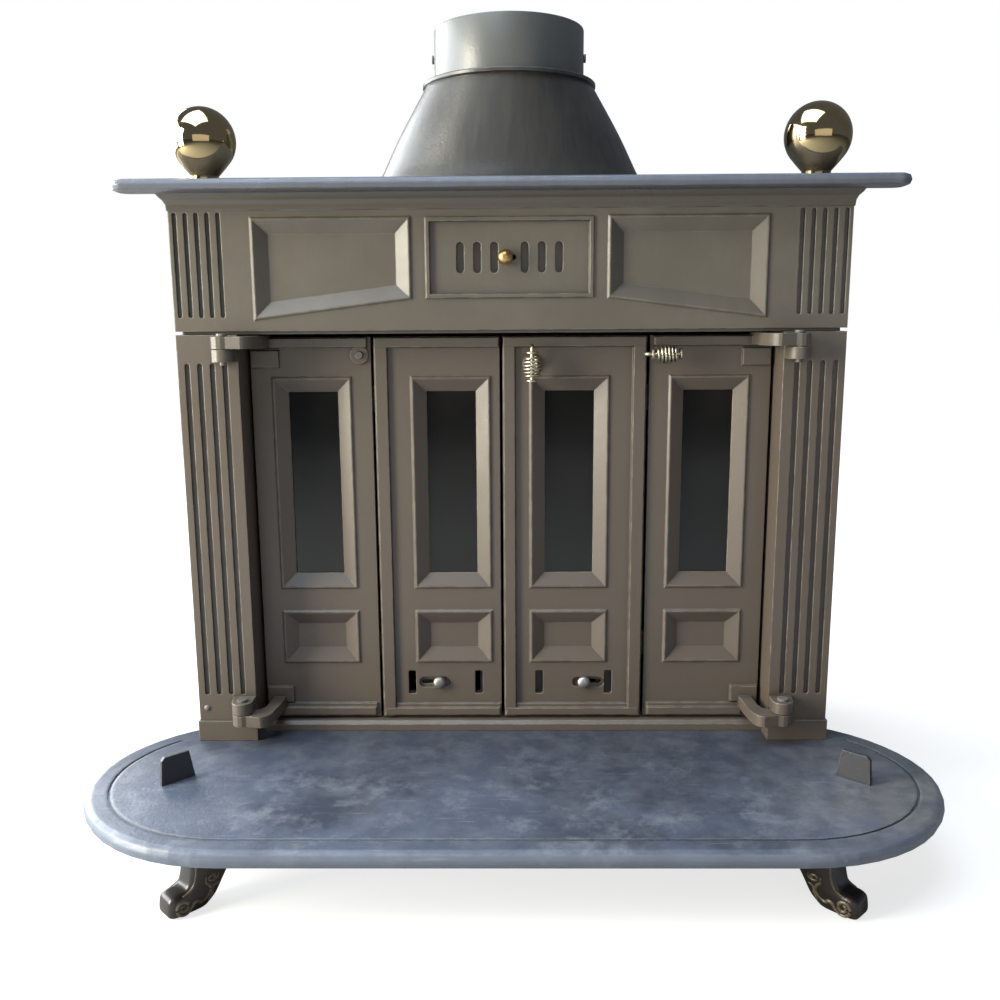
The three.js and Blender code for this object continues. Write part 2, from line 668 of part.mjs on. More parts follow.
const upperLugBottom = UPPER_KNUCKLE - KNUCKLE_HEIGHT;

function pilaster() {
  const faceFar = HALF_BODY;
  const face = block(PILASTER_INNER, faceFar, FRONT, behind(8), up(PLINTH_HEIGHT - 1), up(DOORWAY_HEIGHT));
  const innerReturn = block(
    PILASTER_INNER, PILASTER_INNER + SHEET, FRONT, behind(PILASTER_DEPTH), up(PLINTH_HEIGHT - 1), up(DOORWAY_HEIGHT));
  const outerReturn = block(
    faceFar - SHEET - 2, faceFar, FRONT, behind(RETURN_DEPTH), up(PLINTH_HEIGHT - 1), up(DOORWAY_HEIGHT));
  const plinth = block(
    PILASTER_INNER, faceFar + PLINTH_PROUD, behind(-PLINTH_PROUD), behind(RETURN_DEPTH), up(FIT), up(PLINTH_HEIGHT));
  const plinthReturn = block(
    PILASTER_INNER, PILASTER_INNER + SHEET, behind(0), behind(PILASTER_DEPTH), up(FIT), up(PLINTH_HEIGHT));
  let shape = face.add(innerReturn).add(outerReturn).add(plinth).add(plinthReturn)
    .add(hingeLug(upperLugBottom)).add(hingeLug(LOWER_KNUCKLE));
  const middle = (PILASTER_INNER + faceFar) / 2 + FLUTE_SHIFT;
  for (let i = 0; i < FLUTE_COUNT; i++) {
    const x = middle + (i - (FLUTE_COUNT - 1) / 2) * FLUTE_PITCH;
    const flute = slotOutline(x, up(FLUTE_BOTTOM), up(FLUTE_TOP), FLUTE_WIDTH);
    shape = shape.subtract(front(flute, FRONT - 1, behind(FLUTE_DEPTH), 3));
  }
  return shape.subtract(pinHole(upperLugBottom - 1, UPPER_KNUCKLE + 1))
    .subtract(pinHole(LOWER_KNUCKLE - 1, LOWER_KNUCKLE + KNUCKLE_HEIGHT + 1));
}
pair('pilaster', pilaster(), iron);

/** A headed hinge pin standing through an arm and a lug, from its tail up to its head. */
function hingePin(tail, head) {
  const y = behind(-PIN_FORWARD);
  return bar(PIN_RADIUS, [PIN_X, y, up(tail)], [PIN_X, y, up(head + 1)])
    .add(bar(PIN_HEAD_RADIUS, [PIN_X, y, up(head)], [PIN_X, y, up(head + PIN_HEAD)]));
}
const upperArmBottom = UPPER_KNUCKLE + KNUCKLE_GAP;
const lowerArmBottom = LOWER_KNUCKLE - KNUCKLE_GAP - KNUCKLE_HEIGHT;
const PIN_TAIL = 4;
pair('upper_hinge_pin', hingePin(upperLugBottom - PIN_TAIL, upperArmBottom + KNUCKLE_HEIGHT + FIT), steel);
pair('lower_hinge_pin', hingePin(lowerArmBottom - PIN_TAIL, LOWER_KNUCKLE + KNUCKLE_HEIGHT + FIT), steel);

// ---------------------------------------------------------------- frieze and vent grille

/** One end's sunken panel, with a raised lower edge towards the middle. */
const friezePanel = [
  [PANEL_NEAR, up(FRIEZE_BOTTOM + PANEL_BOTTOM_NEAR)], [PANEL_FAR, up(FRIEZE_BOTTOM + PANEL_BOTTOM_FAR)],
  [PANEL_FAR, up(FRIEZE_BOTTOM + PANEL_TOP)], [PANEL_NEAR, up(FRIEZE_BOTTOM + PANEL_TOP)],
];
const mirrored = (points) => points.map(([x, z]) => [-x, z]).reverse();

const slotMiddle = FRIEZE_BOTTOM + GRILLE_SLOT_MIDDLE;
const grilleSlots = [0, 1, 2].flatMap((i) => [-1, 1].map((side) => side * (GRILLE_SLOT_FIRST + i * GRILLE_SLOT_PITCH)));
const grilleSlot = (x) => slotOutline(
  x, up(slotMiddle - GRILLE_SLOT_HEIGHT / 2), up(slotMiddle + GRILLE_SLOT_HEIGHT / 2), GRILLE_SLOT_WIDTH);
const SLIDE_MARGIN = 8; // slide plate beyond its outermost slots
const grilleSlideEnd = GRILLE_SLOT_FIRST + 2 * GRILLE_SLOT_PITCH + GRILLE_SLOT_WIDTH / 2 + SLIDE_MARGIN;
const grilleSlideBottom = slotMiddle - GRILLE_SLOT_HEIGHT / 2 - SLIDE_MARGIN;
const grilleSlideTop = slotMiddle + GRILLE_SLOT_HEIGHT / 2 + SLIDE_MARGIN;

function frieze() {
  const top = SHELF_UNDER - FIT;
  const plate = block(-HALF_BODY, HALF_BODY, FRONT, behind(FRIEZE_PLATE), up(FRIEZE_BOTTOM), up(top));
  const lintel = block(
    -sideInner + FIT, sideInner - FIT, behind(FRIEZE_PLATE - 4), behind(LINTEL_DEPTH),
    up(LINTEL_BOTTOM), up(LINTEL_BOTTOM + LINTEL_THICKNESS));
  let shape = plate.add(lintel);
  for (const side of [-1, 1]) {
    const [near, far] = [HALF_BODY - 8, HALF_BODY].map((x) => side * x).sort((a, b) => a - b);
    shape = shape.add(block(near, far, FRONT, behind(RETURN_DEPTH), up(FRIEZE_BOTTOM), up(top)));
    const panel = side > 0 ? friezePanel : mirrored(friezePanel);
    shape = shape.add(bead(panel, FRONT)).subtract(slopedCut(panel, FRONT, PANEL_DEPTH));
    for (let i = 0; i < FRIEZE_FLUTE_COUNT; i++) {
      const x = side * (HALF_BODY - FRIEZE_FLUTE_MARGIN + (i - (FRIEZE_FLUTE_COUNT - 1) / 2) * FRIEZE_FLUTE_PITCH);
      shape = shape.subtract(front(
        slotOutline(x, up(FRIEZE_BOTTOM + FRIEZE_FLUTE_BOTTOM), up(FRIEZE_BOTTOM + FRIEZE_FLUTE_TOP), FRIEZE_FLUTE_WIDTH),
        FRONT - 1, behind(FLUTE_DEPTH), 3));
    }
  }
  const half = GRILLE_WIDTH / 2;
  const rim = rectangle(-half, half, up(FRIEZE_BOTTOM + GRILLE_BOTTOM), up(FRIEZE_BOTTOM + GRILLE_TOP));
  shape = shape.add(wedge(rim, inset(rim, -1), behind(-GRILLE_RIM_PROUD), behind(1)))
    .subtract(wedge(inset(rim, GRILLE_RIM - 1), inset(rim, GRILLE_RIM), behind(-GRILLE_RIM_PROUD - 1), behind(GRILLE_SUNK)));
  for (const x of grilleSlots) shape = shape.subtract(front(grilleSlot(x), behind(-3), behind(FRIEZE_PLATE + 1), 3));
  const stemSlot = levelSlot(
    GRILLE_KNOB_X - KNOB_STEM - 0.7, GRILLE_KNOB_X + GRILLE_TRAVEL + KNOB_STEM + 0.7, up(slotMiddle), 2 * KNOB_STEM + 1);
  shape = shape.subtract(front(stemSlot, behind(-3), behind(FRIEZE_PLATE + 1), 3));
  // guide rails that hold the slide plate
  const guideNear = behind(FRIEZE_PLATE - 1);
  const guideFar = behind(FRIEZE_PLATE + 3 * FIT + SLIDE_PLATE + 2);
  const guideEnd = grilleSlideEnd + GRILLE_TRAVEL;
  for (const [edge, side] of [[grilleSlideBottom, -1], [grilleSlideTop, 1]]) {
    const inner = edge + side * 0.5;
    const [low, high] = [inner, inner + side * 5].sort((a, b) => a - b);
    const [lipLow, lipHigh] = [inner - side * 3, inner + side * 5].sort((a, b) => a - b);
    shape = shape.add(block(-guideEnd, guideEnd, guideNear, guideFar, up(low), up(high)))
      .add(block(-guideEnd, guideEnd, guideFar - 2, guideFar, up(lipLow), up(lipHigh)));
  }
  return shape;
}
piece('frieze', frieze(), iron);

/** The slide rests closed, with its slots one travel to the left of the frieze's. */
function grilleSlide() {
  const near = behind(FRIEZE_PLATE + FIT);
  const far = behind(FRIEZE_PLATE + FIT + SLIDE_PLATE);
  let plate = block(
    -grilleSlideEnd - GRILLE_TRAVEL, grilleSlideEnd, near, far, up(grilleSlideBottom), up(grilleSlideTop));
  for (const x of grilleSlots) plate = plate.subtract(front(grilleSlot(x - GRILLE_TRAVEL), near - 1, far + 1, 3));
  return plate;
}
piece('grille_slide', grilleSlide(), darkIron);

/** A domed knob on a stem, turned about the depth axis: a profile of radius and depth, front first. */
function knob(x, height, profile) {
  const lathe = new THREE.LatheGeometry(profile.map(([r, y]) => new THREE.Vector2(r, y)), 14);
  return solid(lathe).translate([x, 0, up(height)]);
}
const grilleKnobRadius = 9.4;
piece('grille_knob', knob(GRILLE_KNOB_X, slotMiddle, [
  [0, behind(-13)], [4.5, behind(-12.2)], [8, behind(-9.5)], [grilleKnobRadius, behind(-6.2)], [8.2, behind(-4)],
  [KNOB_STEM + 1.5, behind(-2.6)], [KNOB_STEM, behind(-1.5)], [KNOB_STEM, behind(FRIEZE_PLATE)], [0, behind(FRIEZE_PLATE)],
]), brass);

// ---------------------------------------------------------------- mantel shelf and finials

function roundedPlan(halfWidth, near, far, nearRadius, farRadius) {
  const outline = new THREE.Shape();
  outline.absarc(-halfWidth + nearRadius, near + nearRadius, nearRadius, Math.PI, 1.5 * Math.PI, false);
  outline.absarc(halfWidth - nearRadius, near + nearRadius, nearRadius, 1.5 * Math.PI, 2 * Math.PI, false);
  outline.absarc(halfWidth - farRadius, far - farRadius, farRadius, 0, Math.PI / 2, false);
  outline.absarc(-halfWidth + farRadius, far - farRadius, farRadius, Math.PI / 2, Math.PI, false);
  return outline;
}

function oval(halfX, halfY, height, steps = 36) {
  return Array.from({ length: steps }, (_, i) => {
    const angle = (2 * Math.PI * i) / steps;
    return [halfX * Math.cos(angle), behind(FLUE_BEHIND) + halfY * Math.sin(angle), up(height)];
  });
}

function mantelShelf() {
  const far = behind(BODY_DEPTH - SHELF_BACK);
  const wings = roundedPlan(
    HALF_BODY + SHELF_SIDE, behind(-SHELF_FRONT), behind(SHELF_WING - SHELF_FRONT), SHELF_CORNER, SHELF_CORNER);
  const rear = roundedPlan(HALF_BODY + COVE_PROUD, behind(SHELF_WING - SHELF_FRONT - 30), far, 8, 8);
  const board = plan(wings, up(SHELF_UNDER), up(SHELF_TOP), SHELF_ROUND, 4)
    .add(plan(rear, up(SHELF_UNDER), up(SHELF_TOP), SHELF_ROUND, 2));
  const ring = (proud, height) => [
    [-HALF_BODY - proud, behind(-proud), up(height)], [HALF_BODY + proud, behind(-proud), up(height)],
    [HALF_BODY + proud, far - 4, up(height)], [-HALF_BODY - proud, far - 4, up(height)],
  ];
  const bottom = SHELF_UNDER - COVE_DROP;
  const cove = loft([
    ring(1, bottom), ring(1.8, bottom + 7), ring(4, bottom + 11.5), ring(7.5, bottom + 15),
    ring(COVE_PROUD, SHELF_UNDER + 1)]);
  const body = block(-HALF_BODY - FIT, HALF_BODY + FIT, behind(-FIT), behind(BODY_DEPTH), up(0), up(SHELF_UNDER));
  const flueHole = loft([SHELF_UNDER - 1, SHELF_TOP + 1].map((z) => oval(BOOT_BASE_X - 18, BOOT_BASE_Y - 18, z)));
  return board.add(cove.subtract(body)).subtract(flueHole);
}
piece('mantel_shelf', mantelShelf(), iron);

const ballBottom = SHELF_TOP + FIT;
function ballFinial() {
  const centre = ballBottom + BALL_NECK_HEIGHT + Math.sqrt(BALL_RADIUS ** 2 - BALL_NECK_RADIUS ** 2) - 2;
  const start = Math.asin(BALL_NECK_RADIUS / BALL_RADIUS);
  const steps = 11;
  const profile = [[0, ballBottom], [BALL_NECK_RADIUS + 4, ballBottom], [BALL_NECK_RADIUS + 4, ballBottom + 3],
    [BALL_NECK_RADIUS, ballBottom + 4.5]];
  for (let i = 0; i <= steps; i++) {
    const angle = start + ((Math.PI - start) * i) / steps;
    const radius = i === steps ? 0 : BALL_RADIUS * Math.sin(angle);
    profile.push([radius, centre - BALL_RADIUS * Math.cos(angle)]);
  }
  const lathe = new THREE.LatheGeometry(profile.map(([r, z]) => new THREE.Vector2(r, z)), 20).rotateX(Math.PI / 2);
  return solid(lathe).translate([BALL_X, behind(BALL_BEHIND), HEARTH_TOP]);
}
pair('ball_finial', ballFinial(), brass);

// ---------------------------------------------------------------- flue

/** Half-widths of the boot at heights above the shelf, from its base to its neck. */
const bootProfile = [[0, BOOT_BASE_X, BOOT_BASE_Y], [6, BOOT_BASE_X, BOOT_BASE_Y], [34, 172, 126],
  [80, 149, 119], [BOOT_HEIGHT - 6, 113.5, BOOT_NECK]];
function flueBoot() {
  const base = SHELF_TOP + FIT;
  const top = SHELF_TOP + BOOT_HEIGHT;
  const outside = loft(bootProfile.map(([z, x, y]) => oval(x, y, z === 0 ? base : SHELF_TOP + z))
    .concat([oval(BOOT_NECK, BOOT_NECK, top - 5)]));
  const insideRing = ([z, x, y], i) => oval(x - FLUE_WALL, y - FLUE_WALL, SHELF_TOP + (i ? z : -1));
  const inside = loft(bootProfile.slice(1).map(insideRing)
    .concat([oval(BOOT_NECK - FLUE_WALL, BOOT_NECK - FLUE_WALL, top - 5.5)]));
  const lipRadius = BOOT_NECK + BOOT_LIP;
  const lip = loft([[lipRadius, top - 6], [lipRadius, top - 1.5], [lipRadius - 1.5, top]].map(([r, z]) => oval(r, r, z)));
  const seat = oval(FLUE_RADIUS - FLUE_WALL, FLUE_RADIUS - FLUE_WALL, top - 9);
  const seatTop = oval(FLUE_RADIUS - FLUE_WALL, FLUE_RADIUS - FLUE_WALL, top + 1);
  return outside.subtract(inside).add(lip).subtract(loft([seat, seatTop]));
}
piece('flue_boot', flueBoot(), iron);

const collarBottom = SHELF_TOP + BOOT_HEIGHT + FIT;
const collarTop = SHELF_TOP + BOOT_HEIGHT + COLLAR_HEIGHT;
const damperUp = collarBottom + COLLAR_HEIGHT / 2;
const DAMPER_HEAD = 5.5;
function flueCollar() {
  const ring = (r, z) => oval(r, r, z);
  const inner = FLUE_RADIUS - FLUE_WALL;
  const y = behind(FLUE_BEHIND);
  return loft([ring(FLUE_RADIUS, collarBottom), ring(FLUE_RADIUS, collarTop)])
    .subtract(loft([ring(inner, collarBottom - 1), ring(inner, collarTop + 1)]))
    .subtract(bar(
      DAMPER_ROD + PIN_CLEARANCE, [-2 * FLUE_RADIUS, y, up(damperUp)], [2 * FLUE_RADIUS, y, up(damperUp)], 12));
}
piece('flue_collar', flueCollar(), iron);

/** The damper: a disc with a boss across it, bored for its spindle. */
function flueDamper() {
  const y = behind(FLUE_BEHIND);
  const reach = FLUE_RADIUS - FLUE_WALL - DAMPER_CLEARANCE;
  const disc = [-1, 1].map((side) => oval(reach, reach, damperUp + (side * DAMPER_THICKNESS) / 2, 32));
  return loft(disc).add(bar(DAMPER_ROD + 3, [-reach + 4, y, up(damperUp)], [reach - 4, y, up(damperUp)], 12))
    .subtract(bar(DAMPER_ROD + FIT, [-reach - 5, y, up(damperUp)], [reach + 5, y, up(damperUp)], 12));
}
piece('damper_plate', flueDamper(), darkIron);

function damperSpindle() {
  const y = behind(FLUE_BEHIND);
  const end = FLUE_RADIUS + 0.5;
  const head = (x) => bar(DAMPER_HEAD, [x, y, up(damperUp)], [x + Math.sign(x) * 2.5, y, up(damperUp)], 16);
  return bar(DAMPER_ROD, [-end - 1, y, up(damperUp)], [end + 1, y, up(damperUp)], 12).add(head(end)).add(head(-end));
}
piece('damper_spindle', damperSpindle(), steel);

// ---------------------------------------------------------------- door leaves

const fullHeight = rectangle(0, 1, up(LEAF_BOTTOM), up(LEAF_TOP));

/** A panel outline on a leaf, centred at x. */
const leafPanel = (x, bottom, top) => rectangle(x - WINDOW_WIDTH / 2, x + WINDOW_WIDTH / 2, up(bottom), up(top));

/** A raised bar on a leaf's face with bevelled edges. */
function raisedBar(x0, x1, bottom, top, proud, slope = 1.5) {
  const base = rectangle(x0, x1, up(bottom), up(top));
  return wedge(inset(base, slope), base, behind(LEAF_BEHIND - proud), behind(LEAF_BEHIND + 1));
}

/** The castings common to both leaves: plate, window and small panel. */
function leafPlate(x0, x1, windowX) {
  const face = behind(LEAF_BEHIND);
  const plate = block(x0, x1, face, behind(LEAF_BACK), fullHeight[0][1], fullHeight[2][1]);
  const window = leafPanel(windowX, WINDOW_BOTTOM, WINDOW_TOP);
  const small = leafPanel(windowX, SMALL_PANEL_BOTTOM, SMALL_PANEL_TOP);
  return plate
    .add(bead(window, face)).add(bead(small, face))
    .subtract(slopedCut(window, face, LEAF_PLATE - 2))
    .subtract(front(shapeOf(inset(window, BEVEL_WIDTH)), face, behind(LEAF_BACK + 1)))
    .subtract(slopedCut(small, face, SMALL_PANEL_DEPTH));
}

/** The window's glass behind the leaf, and the flat frame that holds it. */
function glassPane(windowX) {
  const opening = inset(leafPanel(windowX, WINDOW_BOTTOM, WINDOW_TOP), BEVEL_WIDTH);
  return front(shapeOf(inset(opening, -GLASS_LAP)), behind(GLASS_BEHIND), behind(GLASS_BEHIND + GLASS_THICKNESS));
}
function glassRetainer(windowX) {
  const opening = inset(leafPanel(windowX, WINDOW_BOTTOM, WINDOW_TOP), BEVEL_WIDTH);
  const near = behind(GLASS_BEHIND);
  const over = behind(GLASS_BEHIND + GLASS_THICKNESS + FIT);
  const outer = shapeOf(inset(opening, 1 - RETAINER_WIDTH));
  return front(outer, near, over + RETAINER_SHEET)
    .subtract(front(shapeOf(inset(opening, -GLASS_LAP - FIT)), near - 1, over))
    .subtract(front(shapeOf(opening), near - 1, over + RETAINER_SHEET + 1));
}

/** The gooseneck arm from the outer leaf to its pin, in plan, with the pin at the origin. */
function armOutline() {
  const outline = new THREE.Shape();
  const leafFace = LEAF_BEHIND + PIN_FORWARD;
  const hub = (degrees) => [Math.cos, Math.sin].map((turn) => KNUCKLE_RADIUS * turn((degrees * Math.PI) / 180));
  outline.moveTo(...hub(125));
  outline.absarc(0, 0, KNUCKLE_RADIUS, (125 * Math.PI) / 180, (-120 * Math.PI) / 180, true);
  outline.lineTo(-25, -15);
  outline.quadraticCurveTo(-34, -13, -37, 0);
  outline.lineTo(-41, 25);
  outline.lineTo(-43.5, leafFace + 8);
  outline.lineTo(-27.5, leafFace + 8);
  outline.lineTo(-25.5, 30);
  outline.quadraticCurveTo(-24, 14, -18, 12);
  outline.closePath();
  return outline;
}
function hingeArm(bottom) {
  return plan(armOutline(), up(bottom), up(bottom + KNUCKLE_HEIGHT), 0, 5).translate([PIN_X, behind(-PIN_FORWARD), 0])
    .subtract(pinHole(bottom - 1, bottom + KNUCKLE_HEIGHT + 1));
}

/** One leaf's knuckle of a fold hinge: a bored barrel and a web to the leaf's back. */
function foldKnuckle(middle, side) {
  const [low, high] = side > 0 ? [middle - FOLD_KNUCKLE, middle - 0.5] : [middle + 0.5, middle + FOLD_KNUCKLE];
  const y = behind(FOLD_AXIS);
  const barrel = bar(FOLD_BARREL, [FOLD_X, y, up(low)], [FOLD_X, y, up(high)], 12);
  const [x0, x1] = [FOLD_X + side * 1.75, FOLD_X + side * (FOLD_WEB + 1.75)].sort((a, b) => a - b);
  const web = block(x0, x1, behind(LEAF_BACK - 1), behind(FOLD_AXIS + 1.5), up(low), up(high));
  return barrel.add(web);
}
const foldHole = (middle) => bar(
  FOLD_PIN + FIT, [FOLD_X, behind(FOLD_AXIS), up(middle - FOLD_KNUCKLE - 1)],
  [FOLD_X, behind(FOLD_AXIS), up(middle + FOLD_KNUCKLE + 1)], 12);
function foldPin(middle) {
  const y = behind(FOLD_AXIS);
  const top = middle + FOLD_KNUCKLE + 0.5;
  return bar(FOLD_PIN, [FOLD_X, y, up(middle - FOLD_KNUCKLE - 1)], [FOLD_X, y, up(top + 1)], 12)
    .add(bar(FOLD_PIN + 1.5, [FOLD_X, y, up(top)], [FOLD_X, y, up(top + 2)], 12));
}

const latchHole = (x, height) => bar(
  SPINDLE_RADIUS + PIN_CLEARANCE, [x, behind(LEAF_BEHIND - 20), up(height)], [x, behind(LEAF_BACK + 20), up(height)]);
const latchBoss = (x, height) => bar(
  BOSS_RADIUS, [x, behind(LEAF_BEHIND - BOSS_PROUD), up(height)], [x, behind(LEAF_BEHIND + 1), up(height)]);

function outerLeaf() {
  const strapNear = OUTER_LEAF_FAR - STRAP_LENGTH;
  const ledgeEnds = [OUTER_LEAF_NEAR + LEDGE_NEAR, OUTER_LEAF_FAR - LEDGE_FAR];
  let leaf = leafPlate(OUTER_LEAF_NEAR, OUTER_LEAF_FAR, OUTER_WINDOW_X)
    .add(raisedBar(...ledgeEnds, LEAF_TOP - RAIL_HEIGHT + 0.5, LEAF_TOP - 0.2, RAISED))
    .add(raisedBar(...ledgeEnds, LEAF_BOTTOM + 0.5, LEAF_BOTTOM + LOWER_RAIL_HEIGHT + 1, RAIL_STEP))
    .add(raisedBar(...ledgeEnds, LEAF_BOTTOM + 0.5, LEAF_BOTTOM + LOWER_RAIL_HEIGHT - 3, RAISED, 3))
    .add(raisedBar(strapNear, OUTER_LEAF_FAR - 0.3, LEAF_TOP - 38, LEAF_TOP - 38 + STRAP_HEIGHT, STRAP_PROUD))
    .add(raisedBar(strapNear, OUTER_LEAF_FAR - 0.3, LEAF_BOTTOM + 20, LEAF_BOTTOM + 20 + STRAP_HEIGHT, STRAP_PROUD))
    .add(latchBoss(OUTER_LATCH_X, OUTER_LATCH_UP))
    .add(hingeArm(upperArmBottom)).add(hingeArm(lowerArmBottom));
  for (const middle of [FOLD_LOWER, FOLD_UPPER]) leaf = leaf.add(foldKnuckle(middle, 1)).subtract(foldHole(middle));
  return leaf.subtract(latchHole(OUTER_LATCH_X, OUTER_LATCH_UP));
}
pair('outer_leaf', outerLeaf(), iron);
pair('outer_glass', glassPane(OUTER_WINDOW_X), glass);
pair('outer_retainer', glassRetainer(OUTER_WINDOW_X), darkIron);

const airSlideBottom = VENT_MIDDLE_UP - VENT_HEIGHT / 2 - SLIDE_LAP;
const airSlideTop = VENT_MIDDLE_UP + VENT_HEIGHT / 2 + SLIDE_LAP;
const airSlot = (x) => openingOutline(
  x, up(VENT_MIDDLE_UP - VENT_HEIGHT / 2), up(VENT_MIDDLE_UP + VENT_HEIGHT / 2), VENT_WIDTH, VENT_CORNER);

/** An inner leaf drawn on the right; `meeting` is its edge at the middle of the door. */
function innerLeaf(meeting, lap, vents) {
  const face = behind(LEAF_BEHIND);
  let leaf = leafPlate(meeting, INNER_LEAF_FAR, INNER_WINDOW_X)
    .add(raisedBar(meeting, INNER_LEAF_FAR - 0.3, LEAF_TOP - RAIL_HEIGHT, LEAF_TOP - 0.2, RAISED))
    .add(raisedBar(meeting, INNER_LEAF_FAR - 0.3, LEAF_BOTTOM + 0.3, LEAF_BOTTOM + LOWER_RAIL_HEIGHT, RAIL_STEP))
    .add(raisedBar(meeting, INNER_LEAF_FAR - 0.3, LEAF_BOTTOM + 0.3, LEAF_BOTTOM + LOWER_RAIL_HEIGHT - 4, RAISED, 3))
    .add(raisedBar(INNER_LEAF_FAR - STILE_WIDTH - 2, INNER_LEAF_FAR - 0.3, LEAF_BOTTOM + 0.3, LEAF_TOP - 0.2, RAISED - 0.5));
  if (lap) leaf = leaf.add(raisedBar(meeting, meeting + STILE_WIDTH + 0.6, LEAF_BOTTOM + 0.3, LEAF_TOP - 0.2, RAISED - 0.5));
  for (const middle of [FOLD_LOWER, FOLD_UPPER]) leaf = leaf.add(foldKnuckle(middle, -1)).subtract(foldHole(middle));
  // rails behind the air slide
  const railStart = Math.max(meeting + 3, AIR_RAIL_NEAR);
  const railNear = behind(LEAF_BACK - 1);
  const railFar = behind(GLASS_BEHIND + SLIDE_PLATE + FIT + 1.7);
  for (const [edge, side] of [[airSlideBottom, -1], [airSlideTop, 1]]) {
    const inner = edge + side * 0.4;
    const [low, high] = [inner, inner + side * 4].sort((a, b) => a - b);
    const [lipLow, lipHigh] = [inner - side * 2.5, inner + side * 4].sort((a, b) => a - b);
    leaf = leaf.add(block(railStart, AIR_RAIL_FAR, railNear, railFar, up(low), up(high)))
      .add(block(railStart, AIR_RAIL_FAR, railFar - 1.7, railFar, up(lipLow), up(lipHigh)));
  }
  for (const x of vents) {
    leaf = leaf.subtract(front(airSlot(x), face - 2, behind(LEAF_BACK + 0.1), 1));
  }
  const groove = levelSlot(GROOVE_NEAR_X, GROOVE_FAR_X, up(VENT_MIDDLE_UP), AIR_GROOVE_HEIGHT);
  const stemSlot = levelSlot(
    AIR_KNOB_X - KNOB_STEM - 1, AIR_KNOB_X + AIR_TRAVEL + KNOB_STEM + 1, up(VENT_MIDDLE_UP), 2 * KNOB_STEM + 1);
  return leaf.subtract(front(groove, face - 2, face + 3, 3)).subtract(front(stemSlot, face, behind(LEAF_BACK + 0.1), 3));
}

const rightInner = innerLeaf(MEETING_X, true, RIGHT_VENTS)
  .add(latchBoss(INNER_LATCH_X, INNER_LATCH_UP)).subtract(latchHole(INNER_LATCH_X, INNER_LATCH_UP));
piece('right_inner_leaf', rightInner, iron);
piece('left_inner_leaf', innerLeaf(LEFT_MEETING, false, LEFT_VENTS), iron, true);
pair('inner_glass', glassPane(INNER_WINDOW_X), glass);
pair('inner_retainer', glassRetainer(INNER_WINDOW_X), darkIron);
pair('lower_fold_pin', foldPin(FOLD_LOWER), steel);
pair('upper_fold_pin', foldPin(FOLD_UPPER), steel);

/** An air slide drawn on the right: a plate from `near` to `far`, with slots at the given places. */
function airSlide(near, far, slots) {
  const [front0, back0] = [behind(GLASS_BEHIND), behind(GLASS_BEHIND + SLIDE_PLATE)];
  let plate = block(near, far, front0, back0, up(airSlideBottom), up(airSlideTop));
  for (const x of slots) plate = plate.subtract(front(airSlot(x), front0 - 1, back0 + 1, 1));
  return plate;
}
// the right slide rests closed and opens outward, the left one rests nearly open and closes outward
const slotEdge = VENT_WIDTH / 2 + SLIDE_LAP;
const [rightNear, rightFar] = RIGHT_VENTS;
const [leftNear, leftFar] = LEFT_VENTS;
piece('right_air_slide', airSlide(
  rightNear - AIR_TRAVEL - slotEdge, rightFar + slotEdge, [rightNear - AIR_TRAVEL, rightFar - AIR_TRAVEL]), darkIron);
piece('left_air_slide', airSlide(LEFT_MEETING + 1.5, leftFar + slotEdge, [leftNear + 3.5, leftFar + 0.5]), darkIron, true);
const airKnob = knob(AIR_KNOB_X, VENT_MIDDLE_UP, [
  [0, behind(LEAF_BEHIND - 8)], [5, behind(LEAF_BEHIND - 7.4)], [AIR_KNOB_RADIUS - 0.7, behind(LEAF_BEHIND - 5.5)],
  [AIR_KNOB_RADIUS, behind(LEAF_BEHIND - 4)], [AIR_KNOB_RADIUS, behind(LEAF_BEHIND - 1.5)],
  [AIR_KNOB_RADIUS - 1, behind(LEAF_BEHIND - 0.4)], [KNOB_STEM, behind(LEAF_BEHIND - 0.4)],
  [KNOB_STEM, behind(LEAF_BACK)], [0, behind(LEAF_BACK)],
]);
pair('air_slide_knob', airKnob, steel);

// ---------------------------------------------------------------- latches
// Drawn with the spindle on the Y axis and the handle along +X; y counts back from the leaf's face.

const PLUG_RADIUS = 3; // spindle's thin end, through the tongue
const tongueNear = LEAF_PLATE + 2;

function latchSpindle(frontEnd) {
  return bar(SPINDLE_RADIUS, [0, frontEnd, 0], [0, tongueNear - FIT, 0], 12)
    .add(bar(PLUG_RADIUS, [0, 0, 0], [0, tongueNear + TONGUE_THICKNESS + 1.5, 0], 12));
}

function latchTongue(length) {
  const half = TONGUE_WIDTH / 2;
  const outline = new THREE.Shape();
  outline.absarc(0, 0, half + 1, Math.PI / 3, 1.667 * Math.PI, false);
  outline.lineTo(length - 3, -half + 1);
  outline.lineTo(length, 0);
  outline.lineTo(length - 3, half - 1);
  outline.closePath();
  return front(outline, tongueNear, tongueNear + TONGUE_THICKNESS, 8)
    .subtract(bar(PLUG_RADIUS + FIT, [0, tongueNear - 1, 0], [0, tongueNear + TONGUE_THICKNESS + 1, 0], 12));
}

const DISC_THICKNESS = 2;
const backDisc = -HANDLE_BACK + 3; // the near face of each disc, along the handle
const frontDisc = HANDLE_REACH - DISC_THICKNESS;

